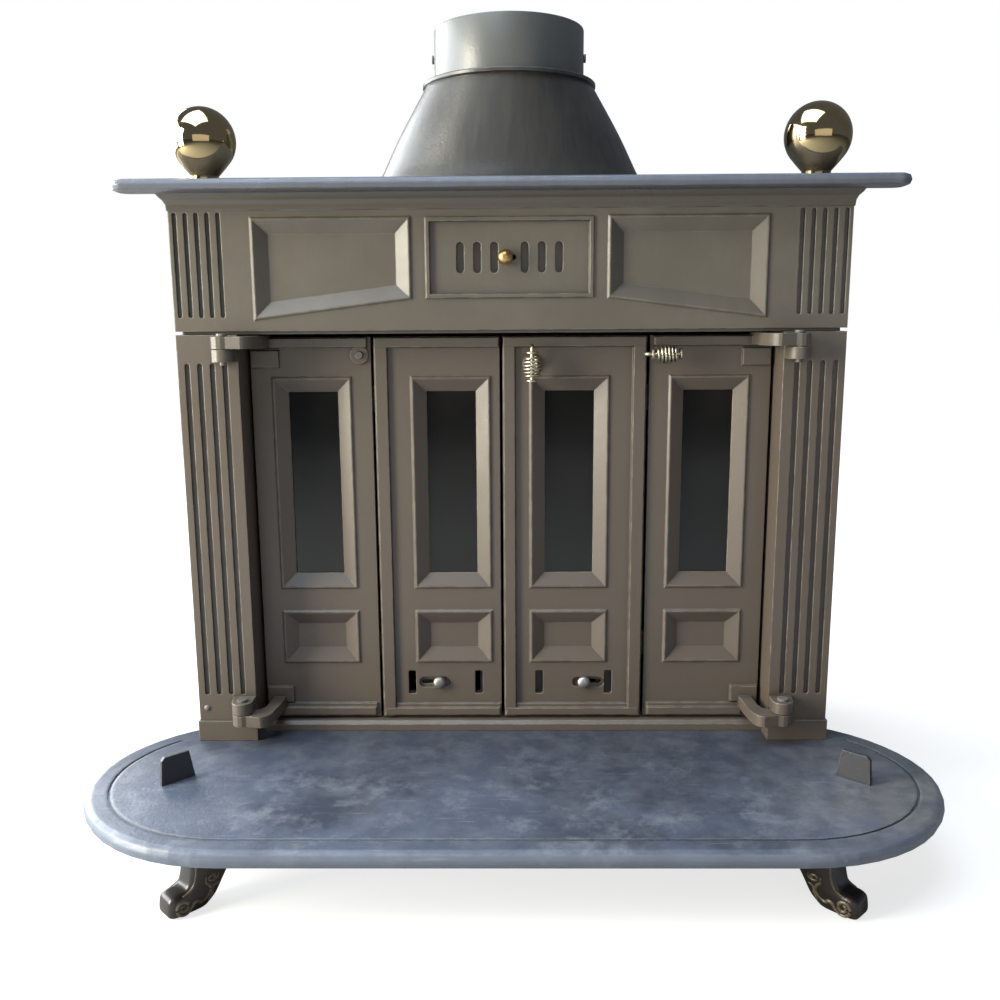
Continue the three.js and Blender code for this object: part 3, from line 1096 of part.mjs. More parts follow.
/** The spindle and its bent rod, with a disc at each end of the coil's place. */
function latchHandle() {
  const way = new THREE.CatmullRomCurve3([
    [0, -3], [0, -7.5], [-5, -11], [-13, -11.5], [-19.5, -14], [-22, -19], [-20.5, -24], [-16, -HANDLE_STANDOFF],
    [-8, -HANDLE_STANDOFF],
  ].map(([x, y]) => new THREE.Vector3(x, y, 0)));
  const points = way.getPoints(13).concat(new THREE.Vector3(HANDLE_REACH + 1.5, -HANDLE_STANDOFF, 0));
  const disc = (x) => bar(COLLAR_DISC, [x, -HANDLE_STANDOFF, 0], [x + DISC_THICKNESS, -HANDLE_STANDOFF, 0], 12);
  return latchSpindle(-5).add(tube(points, HANDLE_ROD, 7)).add(disc(backDisc)).add(disc(frontDisc));
}

/** The coil grip: barrel-shaped turns of wire round the rod, with ends square to the discs. */
const COIL_STEPS = 8;
function coilPoints() {
  const start = backDisc + DISC_THICKNESS + FIT;
  const end = frontDisc - FIT;
  const straight = 2 * COIL_WIRE;
  const length = end - start - 2 * straight;
  const count = COIL_TURNS * COIL_STEPS;
  const winding = Array.from({ length: count + 1 }, (_, i) => {
    const t = i / count;
    const angle = 2 * Math.PI * COIL_TURNS * t;
    const radius = COIL_END_RADIUS + (COIL_RADIUS - COIL_END_RADIUS) * Math.sin(Math.PI * t) ** 0.8;
    return new THREE.Vector3(
      start + straight + length * t, -HANDLE_STANDOFF + radius * Math.cos(angle), radius * Math.sin(angle));
  });
  const first = winding[0].clone().setX(start);
  const last = winding[count].clone().setX(end);
  return [first, ...winding, last];
}

/** The least gap between two turns, from points along the wire at least half a turn apart. */
function leastSelfGap(points, radius, apart) {
  const fine = [];
  for (let i = 0; i + 1 < points.length; i++) {
    for (let k = 0; k < 6; k++) fine.push([i + k / 6, points[i].clone().lerp(points[i + 1], k / 6)]);
  }
  let least = Infinity;
  for (const [i, a] of fine) {
    for (const [j, b] of fine) if (j - i >= apart) least = Math.min(least, a.distanceTo(b));
  }
  return least - 2 * radius;
}
const coil = coilPoints();
console.log(`coil grip: least self-gap ${leastSelfGap(coil, COIL_WIRE, COIL_STEPS / 2).toFixed(2)} mm`);

const latchAt = (shape, x, height, turn = 0) => shape.rotate([0, turn, 0]).translate([x, behind(LEAF_BEHIND), up(height)]);
const atOuter = (shape) => latchAt(shape, OUTER_LATCH_X, OUTER_LATCH_UP);
const atInner = (shape) => latchAt(shape, INNER_LATCH_X, INNER_LATCH_UP, 90);
piece('left_latch_spindle', atOuter(latchSpindle(-BOSS_PROUD - 4)), steel, true);
piece('left_latch_tongue', atOuter(latchTongue(TONGUE_LENGTH)), darkIron, true);
piece('right_latch_handle', atOuter(latchHandle()), nickel);
piece('right_latch_coil', atOuter(tube(coil, COIL_WIRE, 5)), nickel);
piece('right_latch_tongue', atOuter(latchTongue(TONGUE_LENGTH)), darkIron);
piece('middle_latch_handle', atInner(latchHandle()), nickel);
piece('middle_latch_coil', atInner(tube(coil, COIL_WIRE, 5)), nickel);
piece('middle_latch_tongue', atInner(latchTongue(INNER_TONGUE_LENGTH)), darkIron);

export default stove;
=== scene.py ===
from math import cos, pi, radians, sin

import bpy
import numpy as np
from mathutils import Matrix, Vector


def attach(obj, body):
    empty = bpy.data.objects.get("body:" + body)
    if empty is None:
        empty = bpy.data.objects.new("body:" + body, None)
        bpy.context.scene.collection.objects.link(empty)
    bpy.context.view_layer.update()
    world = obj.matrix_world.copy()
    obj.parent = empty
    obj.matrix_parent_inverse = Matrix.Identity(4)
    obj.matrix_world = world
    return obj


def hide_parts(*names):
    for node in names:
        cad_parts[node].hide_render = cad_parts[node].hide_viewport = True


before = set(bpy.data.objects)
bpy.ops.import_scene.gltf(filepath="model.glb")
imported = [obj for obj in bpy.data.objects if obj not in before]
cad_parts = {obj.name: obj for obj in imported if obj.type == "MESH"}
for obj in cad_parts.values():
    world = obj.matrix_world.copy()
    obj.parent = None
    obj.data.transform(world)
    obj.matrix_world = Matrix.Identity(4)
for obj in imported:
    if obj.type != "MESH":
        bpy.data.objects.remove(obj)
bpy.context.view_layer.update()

# ------------------------------------------------------------------ camera, floor and light
# The camera stands in front of the stove at the photograph's place: 1.27 m before the middle
# of the object and 0.64 m up, looking down ten and a half degrees through a 36 mm lens.
LENS = 36.0
FILM_WIDTH = 36.0
CAMERA_AT = Vector((0.00206, -1.27413, 0.64195))
LOOK_DOWN, LOOK_RIGHT, LEAN = 0.185008, -0.012534, -0.006591

lens = bpy.data.cameras.new("camera")
lens.lens = LENS
lens.sensor_width = FILM_WIDTH
lens.clip_start = 0.05
camera = bpy.data.objects.new("camera", lens)
camera.matrix_world = (Matrix.Translation(CAMERA_AT) @ Matrix.Rotation(-LOOK_RIGHT, 4, "Z")
                       @ Matrix.Rotation(pi / 2 - LOOK_DOWN, 4, "X") @ Matrix.Rotation(LEAN, 4, "Z"))
bpy.context.collection.objects.link(camera)
bpy.context.scene.camera = camera
bpy.context.scene.view_settings.view_transform = "Standard"


def place(tree, kind, inputs=(), **settings):
    """One shader node. The settings go on the node itself, and inputs is a dict that gives each
    socket a value or another node's output."""
    node = tree.nodes.new("ShaderNode" + kind)
    for key, value in settings.items():
        setattr(node, key, value)
    for key, value in dict(inputs).items():
        if isinstance(value, bpy.types.NodeSocket):
            tree.links.new(value, node.inputs[key])
        else:
            node.inputs[key].default_value = value
    return node


FLOOR_REACH = 30
FLOOR_GREY = (0.42, 0.42, 0.42, 1.0)
WHITE = (1.0, 1.0, 1.0, 1.0)
SHADED_WITHIN, WHITE_FROM = 0.5, 2.2  # metres from the middle of the floor
SHADED_WHITE = 0.72

floor_corners = [(x * FLOOR_REACH, y * FLOOR_REACH, 0) for x, y in ((-1, -1), (1, -1), (1, 1), (-1, 1))]
floor_mesh = bpy.data.meshes.new("floor")
floor_mesh.from_pydata(floor_corners, [], [(0, 1, 2, 3)])
floor = bpy.data.objects.new("floor", floor_mesh)
bpy.context.collection.objects.link(floor)
floor_paint = bpy.data.materials.new("pale floor")
floor_paint.use_nodes = True
tree = floor_paint.node_tree
tree.nodes.clear()
matt = place(tree, "BsdfDiffuse", {"Color": FLOOR_GREY}).outputs[0]
where = place(tree, "TexCoord").outputs["Object"]
away = place(tree, "VectorMath", {0: where}, operation="LENGTH").outputs["Value"]
spread = {0: away, 1: SHADED_WITHIN, 2: WHITE_FROM, 3: SHADED_WHITE, 4: 1.0}
white_level = place(tree, "MapRange", spread).outputs[0]
glow = place(tree, "Emission", {"Color": WHITE, "Strength": white_level}).outputs[0]
seen = place(tree, "LightPath").outputs["Is Camera Ray"]
lift = place(tree, "MixShader", {0: seen, 2: glow}).outputs[0]
lit = place(tree, "AddShader", {0: matt, 1: lift}).outputs[0]
place(tree, "OutputMaterial", {"Surface": lit})
floor_mesh.materials.append(floor_paint)

ROOM_BLUE = (0.80, 0.88, 1.0, 1.0)
ROOM_LEVEL = 0.20
world = bpy.data.worlds.new("studio")
world.use_nodes = True
bpy.context.scene.world = world
tree = world.node_tree
tree.nodes.clear()
room = place(tree, "Background", {"Color": ROOM_BLUE, "Strength": ROOM_LEVEL}).outputs[0]
seen = place(tree, "LightPath").outputs["Is Camera Ray"]
white = place(tree, "Background", {"Color": WHITE, "Strength": 1.0}).outputs[0]
sky = place(tree, "MixShader", {0: seen, 1: room, 2: white}).outputs[0]
place(tree, "OutputWorld", {"Surface": sky})


def soft_lamp(name, at, towards, width, height, watts, tint):
    """A rectangular soft box at a place, turned to face a point."""
    lamp = bpy.data.lights.new(name, "AREA")
    lamp.shape, lamp.size, lamp.size_y = "RECTANGLE", width, height
    lamp.energy, lamp.color = watts, tint
    holder = bpy.data.objects.new(name, lamp)
    turn = (Vector(towards) - Vector(at)).to_track_quat("-Z", "Y").to_matrix().to_4x4()
    holder.matrix_world = Matrix.Translation(at) @ turn
    bpy.context.collection.objects.link(holder)


soft_lamp("window", at=(-2.4, 1.0, 1.25), towards=(0, 0.2, 0.5), width=3.4, height=2.2, watts=205,
          tint=(0.93, 0.97, 1.0))
soft_lamp("tall window", at=(-2.35, -1.1, 1.08), towards=(0, 0, 0.5), width=0.8, height=1.9, watts=148,
          tint=(1.0, 0.95, 0.80))
soft_lamp("ceiling", at=(-0.7, -0.6, 2.9), towards=(0, 0, 0.4), width=2.4, height=2.0, watts=92,
          tint=(0.70, 0.84, 1.0))
soft_lamp("room", at=(0.4, -3.4, 1.0), towards=(0, 0, 0.45), width=3.6, height=1.3, watts=16,
          tint=(1.0, 0.94, 0.86))


# ------------------------------------------------------------------ hearth plate
# The hearth is one thick iron casting, oval in front with a rolled edge and a scribed line,
# on which the whole stove stands. It is painted a matt blue-grey, scuffed by logs and ash; its blue
# is partly a painted reflection of blue sky light.
# Painted reflection: these hearth colours are tinted bluer to stand partly for the blue sky light they reflect.
HEARTH_GREY = (0.070, 0.086, 0.124, 1.0)
HEARTH_CLOUD = (0.048, 0.058, 0.082, 1.0)
HEARTH_DEEP = (0.030, 0.036, 0.052, 1.0)
HEARTH_SCUFF = (0.190, 0.205, 0.240, 1.0)
HEARTH_ASHEN = (0.150, 0.142, 0.136, 1.0)
HEARTH_EDGE_HIGHLIGHT = (0.150, 0.175, 0.225, 1.0)
HEARTH_RUBBED = (0.30, 0.34, 0.40, 1.0)
PALE_ASH = (0.34, 0.35, 0.37, 1.0)
SWEPT_FROM, SWEPT_TO = 0.26, 0.44  # ash lies right of here, in metres
SHADE_FROM, SHADE_TO = -0.20, -0.07  # painted shade darkens the plate towards the doors


def effect(name, inputs, outputs):
    """A new node group with its named sockets, and its input and output ends."""
    tree = bpy.data.node_groups.new(name, "ShaderNodeTree")
    for label, value in inputs:
        tree.interface.new_socket(label, in_out="INPUT", socket_type="NodeSocketFloat").default_value = value
    for label, kind in outputs:
        tree.interface.new_socket(label, in_out="OUTPUT", socket_type="NodeSocket" + kind)
    return tree, tree.nodes.new("NodeGroupInput").outputs, tree.nodes.new("NodeGroupOutput").inputs


def masked(tree, value, start, end, low=0.0, high=1.0):
    """Value spread from start..end to low..high, and held at the ends."""
    return place(tree, "MapRange", {0: value, 1: start, 2: end, 3: low, 4: high}).outputs[0]


def times(tree, a, b):
    """The product of two values."""
    return place(tree, "Math", {0: a, 1: b}, operation="MULTIPLY").outputs[0]


def blended(tree, share, a, b):
    """Colour a turning into colour b as share goes from 0 to 1."""
    return place(tree, "Mix", {0: share, 6: a, 7: b}, data_type="RGBA").outputs[2]


def noise(tree, where, scale, detail=3.0, rough=0.55):
    """Cloudy noise from 0 to 1 at this many cells a metre."""
    sockets = {"Vector": where, "Scale": scale, "Detail": detail, "Roughness": rough}
    return place(tree, "TexNoise", sockets).outputs["Fac"]


# Cast grain: sand-mould texture. Height is fine grit plus shallow pits; Mottle is a slow cloud.
cast_grain, given, made = effect("cast grain", [("Size", 420.0), ("Pits", 0.4)],
                                 [("Height", "Float"), ("Mottle", "Float")])
where = place(cast_grain, "TexCoord").outputs["Object"]
grit = noise(cast_grain, where, given["Size"], 3.0, 0.6)
waves = noise(cast_grain, where, 70.0, 2.0)
cells = place(cast_grain, "TexVoronoi", {"Vector": where, "Scale": 150.0},
              feature="SMOOTH_F1").outputs["Distance"]
pits = times(cast_grain, masked(cast_grain, cells, 0.0, 0.35), given["Pits"])
rough_skin = place(cast_grain, "Math", {0: grit, 1: waves}, operation="ADD").outputs[0]
pitted_skin = place(cast_grain, "Math", {0: rough_skin, 1: pits}, operation="ADD").outputs[0]
clouds = noise(cast_grain, where, 9.0, 6.0, 0.62)
cast_grain.links.new(pitted_skin, made["Height"])
cast_grain.links.new(masked(cast_grain, clouds, 0.32, 0.68), made["Mottle"])

# Edges: the corner softened over Radius is compared with the flat face beside it. One mask marks
# the rubbed outer corner, which materials also use for a painted highlight; another marks the inner
# corner that ambient occlusion finds shut in, darkened as dirt and as painted shade; and Round is
# the softened direction of the face.
edge_wear_light_shade, given, made = effect("edge wear, light and shade", [("Radius", 0.0012), ("Breakup", 60.0), ("Reach", 0.011)],
                                [("WornAndHighlight", "Float"), ("GrimeAndShade", "Float"), ("Round", "Vector")])
soft = place(edge_wear_light_shade, "Bevel", {"Radius": given["Radius"]}, samples=4).outputs["Normal"]
face = place(edge_wear_light_shade, "NewGeometry").outputs["Normal"]
agree = place(edge_wear_light_shade, "VectorMath", {0: soft, 1: face}, operation="DOT_PRODUCT").outputs["Value"]
shut = place(edge_wear_light_shade, "AmbientOcclusion", {"Distance": given["Reach"]},
             samples=4, only_local=True).outputs["AO"]
corner = times(edge_wear_light_shade, masked(edge_wear_light_shade, agree, 0.992, 0.86), masked(edge_wear_light_shade, shut, 0.6, 0.9))
where = place(edge_wear_light_shade, "TexCoord").outputs["Object"]
patchy = place(edge_wear_light_shade, "TexNoise", {"Vector": where, "Scale": given["Breakup"],
                                       "Detail": 4.0}).outputs["Fac"]
edge_wear_light_shade.links.new(times(edge_wear_light_shade, corner, masked(edge_wear_light_shade, patchy, 0.38, 0.6)), made["WornAndHighlight"])
# Painted shade: this mask is strongest where the surroundings shut the light out.
edge_wear_light_shade.links.new(masked(edge_wear_light_shade, shut, 0.9, 0.42), made["GrimeAndShade"])
edge_wear_light_shade.links.new(soft, made["Round"])

# Settled dust: ash lies on what faces up, in drifts.
settled_dust, given, made = effect("settled dust", [("Amount", 0.5)], [("Dust", "Float")])
direction = place(settled_dust, "NewGeometry").outputs["Normal"]
facing = place(settled_dust, "SeparateXYZ", {0: direction}).outputs["Z"]
where = place(settled_dust, "TexCoord").outputs["Object"]
drifts = masked(settled_dust, noise(settled_dust, where, 22.0, 6.0, 0.7), 0.42, 0.78)
lying = times(settled_dust, masked(settled_dust, facing, 0.55, 0.95), drifts)
settled_dust.links.new(times(settled_dust, lying, given["Amount"]), made["Dust"])


def put(tree, group, **values):
    """A group node holding one of the effects with its own values, given as outputs."""
    node = place(tree, "Group", node_tree=group)
    for key, value in values.items():
        node.inputs[key].default_value = value
    return node.outputs


def darker(colour, share):
    """A colour whose red, green and blue are this share of the given ones."""
    return tuple(share * part for part in colour[:3]) + (1.0,)


def painted(name, ground, deep, worn_and_highlight, roughness, dust=(0.20, 0.19, 0.175, 1.0), dust_amount=0.3,
            size=420.0, pits=0.4, radius=0.0012, breakup=60.0, wear_and_highlight=0.6, grime_and_shade=0.6, bump=0.25,
            coat=0.0, marks=None):
    """Paint or scale on a casting: ground clouded with deep, marks of its own, dirt and painted shade
    in the hollows, dust on top, corners rubbed pale and given a painted highlight, and grain in relief."""
    material = bpy.data.materials.new(name)
    material.use_nodes = True
    tree = material.node_tree
    shader = tree.nodes["Principled BSDF"]
    grain = put(tree, cast_grain, Size=size, Pits=pits)
    edges = put(tree, edge_wear_light_shade, Radius=radius, Breakup=breakup)
    ash = put(tree, settled_dust, Amount=dust_amount)
    colour = blended(tree, grain["Mottle"], ground, deep)
    if marks:
        colour = marks(tree, colour)
    # Dirt and painted shade darken the hollows; further down, rubbed paint and a painted highlight pale the
    # corners.
    colour = blended(tree, times(tree, edges["GrimeAndShade"], grime_and_shade), colour, darker(deep, 0.35))
    colour = blended(tree, ash["Dust"], colour, dust)
    colour = blended(tree, times(tree, edges["WornAndHighlight"], wear_and_highlight), colour, worn_and_highlight)
    relief = place(tree, "Bump", {"Strength": bump, "Distance": 0.0006, "Height": grain["Height"],
                                  "Normal": edges["Round"]})
    gloss = masked(tree, grain["Mottle"], 0.0, 1.0, roughness - 0.05, roughness + 0.08)
    tree.links.new(colour, shader.inputs["Base Color"])
    tree.links.new(gloss, shader.inputs["Roughness"])
    tree.links.new(relief.outputs[0], shader.inputs["Normal"])
    shader.inputs["Coat Weight"].default_value = coat
    shader.inputs["Coat Roughness"].default_value = 0.3
    return material


def scuffed(tree, colour):
    """Dark patches, pale rubbed ones and short scratches on the hearth's top, ash swept to the
    right, painted shade by the doors and a painted highlight along the rolled edge."""
    where = place(tree, "TexCoord").outputs["Object"]
    patch = masked(tree, noise(tree, where, 6.5, 5.0, 0.6), 0.50, 0.62, 0.0, 0.8)
    colour = blended(tree, patch, colour, HEARTH_DEEP)
    rubbed = masked(tree, noise(tree, where, 17.0, 8.0, 0.74), 0.52, 0.68, 0.0, 0.55)
    colour = blended(tree, rubbed, colour, HEARTH_SCUFF)
    drawn = place(tree, "Mapping", {"Vector": where, "Rotation": (0.0, 0.0, 0.5),
                                    "Scale": (5.0, 130.0, 30.0)}).outputs[0]
    scratch = masked(tree, noise(tree, drawn, 3.0, 2.0), 0.66, 0.72, 0.0, 0.6)
    colour = blended(tree, scratch, colour, HEARTH_SCUFF)
    spot = place(tree, "SeparateXYZ", {0: where}).outputs
    clouds = noise(tree, where, 24.0, 6.0, 0.7)
    swept = times(tree, masked(tree, spot["X"], SWEPT_FROM, SWEPT_TO),
                  masked(tree, clouds, 0.35, 0.6, 0.2, 0.75))
    colour = blended(tree, swept, colour, HEARTH_ASHEN)
    # Painted shade: the plate darkens towards the doors, where the stove shades it.
    colour = blended(tree, masked(tree, spot["Y"], SHADE_FROM, SHADE_TO, 0.0, 0.7), colour, HEARTH_DEEP)
    direction = place(tree, "NewGeometry").outputs["Normal"]
    upward = place(tree, "SeparateXYZ", {0: direction}).outputs["Z"]
    # Painted highlight: where the rolled edge turns away from straight up it is paler and bluer.
    return blended(tree, masked(tree, upward, 0.97, 0.8, 0.0, 0.55), colour, HEARTH_EDGE_HIGHLIGHT)


hearth_iron = painted("hearth paint", HEARTH_GREY, HEARTH_CLOUD, HEARTH_RUBBED, 0.34, dust=PALE_ASH,
                      dust_amount=0.16, size=300.0, pits=0.5, radius=0.005, wear_and_highlight=0.35, bump=0.35,
                      marks=scuffed)


def finish_with(material, *names):
    """Gives CAD nodes a finish on their own material slots."""
    for name in names:
        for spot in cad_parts[name].material_slots:
            spot.link = "OBJECT"
            spot.material = material


def both(*names):
    """The right and left names of mirrored pieces."""
    return [side + name for name in names for side in ("right_", "left_")]


finish_with(hearth_iron, "hearth_plate")
lug_iron = painted("lug scale", (0.034, 0.034, 0.040, 1.0), (0.020, 0.020, 0.024, 1.0),
                   (0.17, 0.17, 0.18, 1.0), 0.42, dust_amount=0.3, wear_and_highlight=0.8, radius=0.0014)
finish_with(lug_iron, *both("hearth_lug"))

# ------------------------------------------------------------------ legs
# Four short cabriole legs of black cast iron, screwed up under the hearth. Each ends in a scroll
# foot, and scrollwork with its gilding half rubbed away stands on both sides.
LEG_HALF = 14.9
LEG_ROUND = 6.5
LEG_TOP = 79.7
LEG_ROUND_STEPS = 5
SCROLL_SUNK = 0.9
FRONT_LEG = (330.0, -251.0, -45.0)  # middle of the root, and turn, in millimetres and degrees
REAR_LEG = (380.0, 314.0, 0.0)
SHARP_FROM = radians(42)


def surface(name, body, slot, material, *grids, caps=True, closed=False):
    """One mesh from grids of points (rows, columns, 3) in millimetres. In each grid neighbouring
    rows and columns join in four-sided faces, and the columns run round in a ring. A flat face
    closes each end ring, or closed joins the last row to the first."""
    points, faces, base = [], [], 0
    for grid in grids:
        rows, columns = grid.shape[:2]
        number = base + np.arange(rows * columns).reshape(rows, columns)
        ring = np.hstack([number, number[:, :1]])
        if closed:
            ring = np.vstack([ring, ring[:1]])
        quads = np.stack([ring[:-1, :-1], ring[:-1, 1:], ring[1:, 1:], ring[1:, :-1]], -1).reshape(-1, 4)
        faces += quads.tolist()
        if caps:
            faces += [number[0, ::-1].tolist(), number[-1].tolist()]
        points.append(grid.reshape(-1, 3) / 1000.0)
        base += rows * columns
    mesh = bpy.data.meshes.new(name)
    mesh.from_pydata(np.concatenate(points).tolist(), [], faces)
    mesh.polygons.foreach_set("use_smooth", np.ones(len(faces), dtype=bool))
    mesh.set_sharp_from_angle(angle=SHARP_FROM)
    mesh.materials.append(material)
    piece = bpy.data.objects.new(name, mesh)
    bpy.context.collection.objects.link(piece)
    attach(piece, body)
    return piece


def bent(points, steps):
    """A smooth curve through points: quadratic arcs whose ends are the midpoints of the control polygon."""
    points = np.asarray(points, dtype=float)
    middle = (points[:-1] + points[1:]) / 2
    middle[0], middle[-1] = points[0], points[-1]
    t = np.linspace(0.0, 1.0, steps)[None, :, None]
    arcs = (1 - t) ** 2 * middle[:-1, None] + 2 * t * (1 - t) * points[1:-1, None] + t ** 2 * middle[1:, None]
    return np.concatenate([arcs[0], *arcs[1:, 1:]])


def wire(path, radius, around=10):
    """A round wire along a path: at each point a ring square to the path, of one radius or of
    one radius a point."""
    path = np.asarray(path, dtype=float)
    ahead = np.gradient(path, axis=0)
    ahead /= np.linalg.norm(ahead, axis=1, keepdims=True)
    across = np.cross(ahead, (0.0, 0.0, 1.0))
    flat = np.linalg.norm(across, axis=1, keepdims=True) < 0.05
    across = np.where(flat, np.cross(ahead, (0.0, 1.0, 0.0)), across)
    across /= np.linalg.norm(across, axis=1, keepdims=True)
    upward = np.cross(across, ahead)
    angle = np.linspace(0.0, 2 * pi, around, endpoint=False)[None, :, None]
    radius = np.broadcast_to(np.asarray(radius, dtype=float), len(path))[:, None, None]
    return path[:, None] + radius * (np.cos(angle) * upward[:, None] + np.sin(angle) * across[:, None])


def leg_outline():
    """The leg seen from its side, as points (outward, up): a broad root, a hollow back and a
    thick upturned toe, each run a smooth curve."""
    back = bent([(-17.0, LEG_TOP), (-13.5, 46.0), (0.0, 26.5), (8.5, 12.0), (17.5, 4.8), (25.0, 0.0),
                 (34.0, 0.0)], 8)
    sole = bent([(34.0, 0.0), (45.0, 0.0), (57.0, 0.0), (66.0, 3.0), (66.0, 13.5), (63.5, 26.0),
                 (53.0, 27.0)], 8)
    shin = bent([(53.0, 27.0), (43.5, 27.0), (39.5, 40.0), (37.0, 56.0), (35.0, LEG_TOP)], 8)
    return np.concatenate([back[:-1], sole[:-1], shin])


def leg_casting():
    """The outline carried across the leg's thickness, drawn in near both sides on a quarter
    round. Its flat top is drawn in sideways only."""
    outline = leg_outline()
    ahead = np.roll(outline, -1, axis=0) - np.roll(outline, 1, axis=0)
    outward = np.stack([-ahead[:, 1], ahead[:, 0]], -1) / np.linalg.norm(ahead, axis=1, keepdims=True)
    outward[outline[:, 1] > LEG_TOP - 0.1] *= (1.0, 0.0)
    turn = np.linspace(0.0, pi / 2, LEG_ROUND_STEPS)
    depth = LEG_ROUND * (1 - np.sin(turn))
    drawn = LEG_ROUND * (1 - np.cos(turn))
    across = np.concatenate([-LEG_HALF + depth[::-1], LEG_HALF - depth])[:, None, None]
    inward = np.concatenate([drawn[::-1], drawn])[:, None, None]
    rings = outline[None] + inward * outward[None]
    rings[..., 1] = np.maximum(rings[..., 1], 0.0)
    across = np.broadcast_to(across, rings.shape[:2] + (1,))
    return np.concatenate([rings[..., :1], across, rings[..., 1:]], -1)


def volute(centre, start, end, turns, lean, tilt=1.0):
    """A spiral in the leg's side: the radius falls from start to end, a little faster at first,
    as the angle grows evenly from lean. Tilt flattens it."""
    t = np.linspace(0.0, 1.0, int(26 * turns))
    angle = lean + 2 * pi * turns * t
    radius = start + (end - start) * t ** 0.85
    return np.stack([centre[0] + radius * np.cos(angle), centre[1] + tilt * radius * np.sin(angle)], -1)


def scrollwork():
    """Raised scrolls on both sides of a leg: a toe volute, an eye with its brow and lash, a tongue
    to the volute, a line down the shin and a volute on the hip. Each thins towards its ends."""
    toe = volute((50.0, 12.2), 10.4, 2.2, 1.75, radians(190))
    eye = volute((14.0, 33.5), 7.2, 2.6, 1.3, radians(150), 0.62)
    brow = bent([(22.0, 36.0), (23.5, 30.0), (18.0, 25.5), (16.5, 20.0), (20.0, 14.0), (26.0, 10.5)], 8)
    lash = bent([(8.0, 25.0), (13.0, 24.0), (15.5, 20.5), (15.0, 15.0), (21.0, 9.0)], 8)
    tongue = bent([(24.0, 12.5), (29.0, 9.0), (33.0, 14.0), (38.0, 12.5), (41.0, 7.0), (47.0, 3.0)], 8)
    shin = bent([(31.0, 72.0), (32.5, 50.0), (34.5, 36.0), (40.0, 26.5), (50.0, 24.2)], 8)
    hip = volute((8.0, 58.0), 9.5, 2.0, 1.6, radians(-40))
    lines = ((toe, 2.5), (eye, 1.8), (brow, 2.2), (lash, 1.7), (tongue, 2.6), (shin, 1.5), (hip, 2.0))
    grids = []
    for side in (-1.0, 1.0):
        for line, thick in lines:
            depth = np.full((len(line), 1), side * (LEG_HALF - SCROLL_SUNK))
            path = np.concatenate([line[:, :1], depth, line[:, 1:]], -1)
            swell = thick * (0.45 + 0.55 * np.sin(np.linspace(0.12, pi - 0.12, len(line))) ** 0.6)
            grids.append(wire(path, swell, 8))
    return grids


def leg_place(grid, side, place_at):
    """Turns a leg's points about its root and sets them under the hearth, mirrored for the left side."""
    x, y, turn = place_at
    c, s = cos(radians(turn)), sin(radians(turn))
    out = np.stack([side * (x + c * grid[..., 0] - s * grid[..., 1]),
                    y + s * grid[..., 0] + c * grid[..., 1], grid[..., 2]], -1)
    return out if side > 0 else out[:, ::-1]


leg_iron = painted("leg black", (0.019, 0.013, 0.010, 1.0), (0.010, 0.007, 0.006, 1.0),
                   (0.13, 0.11, 0.085, 1.0), 0.30, dust_amount=0.1, wear_and_highlight=0.45, grime_and_shade=0.5, bump=0.3,
                   coat=0.2)
rubbed_gilt = painted("rubbed gilding", (0.155, 0.125, 0.075, 1.0), (0.030, 0.022, 0.014, 1.0),
                      (0.42, 0.36, 0.24, 1.0), 0.34, dust_amount=0.0, wear_and_highlight=0.9, grime_and_shade=0.8, bump=0.2,
                      radius=0.001, breakup=140.0)
for place_at, end in ((FRONT_LEG, "front_leg"), (REAR_LEG, "rear_leg")):
    for side, hand in ((1.0, "right_"), (-1.0, "left_")):
        casting = surface(hand + end + "_casting", "body", "leg_iron", leg_iron,
                          leg_place(leg_casting(), side, place_at))
        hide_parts(hand + end)
        surface(hand + end + "_scrolls", "body", "leg_iron", rubbed_gilt,
                *[leg_place(grid, side, place_at) for grid in scrollwork()])

# ------------------------------------------------------------------ firebox
# The fire sits between a thick iron fireback and the doors, on a barred grate over the ash tray.
# Everything here is bare iron, black with soot and grey with ash where it faces up.
soot_iron = painted("sooted iron", (0.022, 0.020, 0.019, 1.0), (0.010, 0.009, 0.009, 1.0),
                    (0.060, 0.055, 0.050, 1.0), 0.72, dust=(0.16, 0.155, 0.15, 1.0), dust_amount=0.75,
                    size=240.0, pits=1.0, wear_and_highlight=0.35, bump=0.6)
finish_with(soot_iron, "ash_tray", "log_grate", "fireback", "smoke_baffle")

# ------------------------------------------------------------------ body castings
# Side and back plates, fluted pilasters and the frieze are thin iron castings bolted together
# and brushed with one coat of warm grey stove paint, which has rubbed pale on the corners; the pale
# corners are also a painted highlight, and the hollows are darkened with painted shade.
BODY_GREY = (0.112, 0.099, 0.080, 1.0)
BODY_DEEP = (0.084, 0.073, 0.058, 1.0)
BODY_RUBBED_AND_HIGHLIGHT = (0.34, 0.32, 0.26, 1.0)
BODY_BROWN = (0.090, 0.068, 0.054, 1.0)
BODY_FRECKLE = (0.082, 0.058, 0.040, 1.0)
GREY_ABOVE, BROWN_BELOW = 0.66, 0.56  # heights in metres
PILASTER_SCREW = (-392.0, -61.0, 144.0)


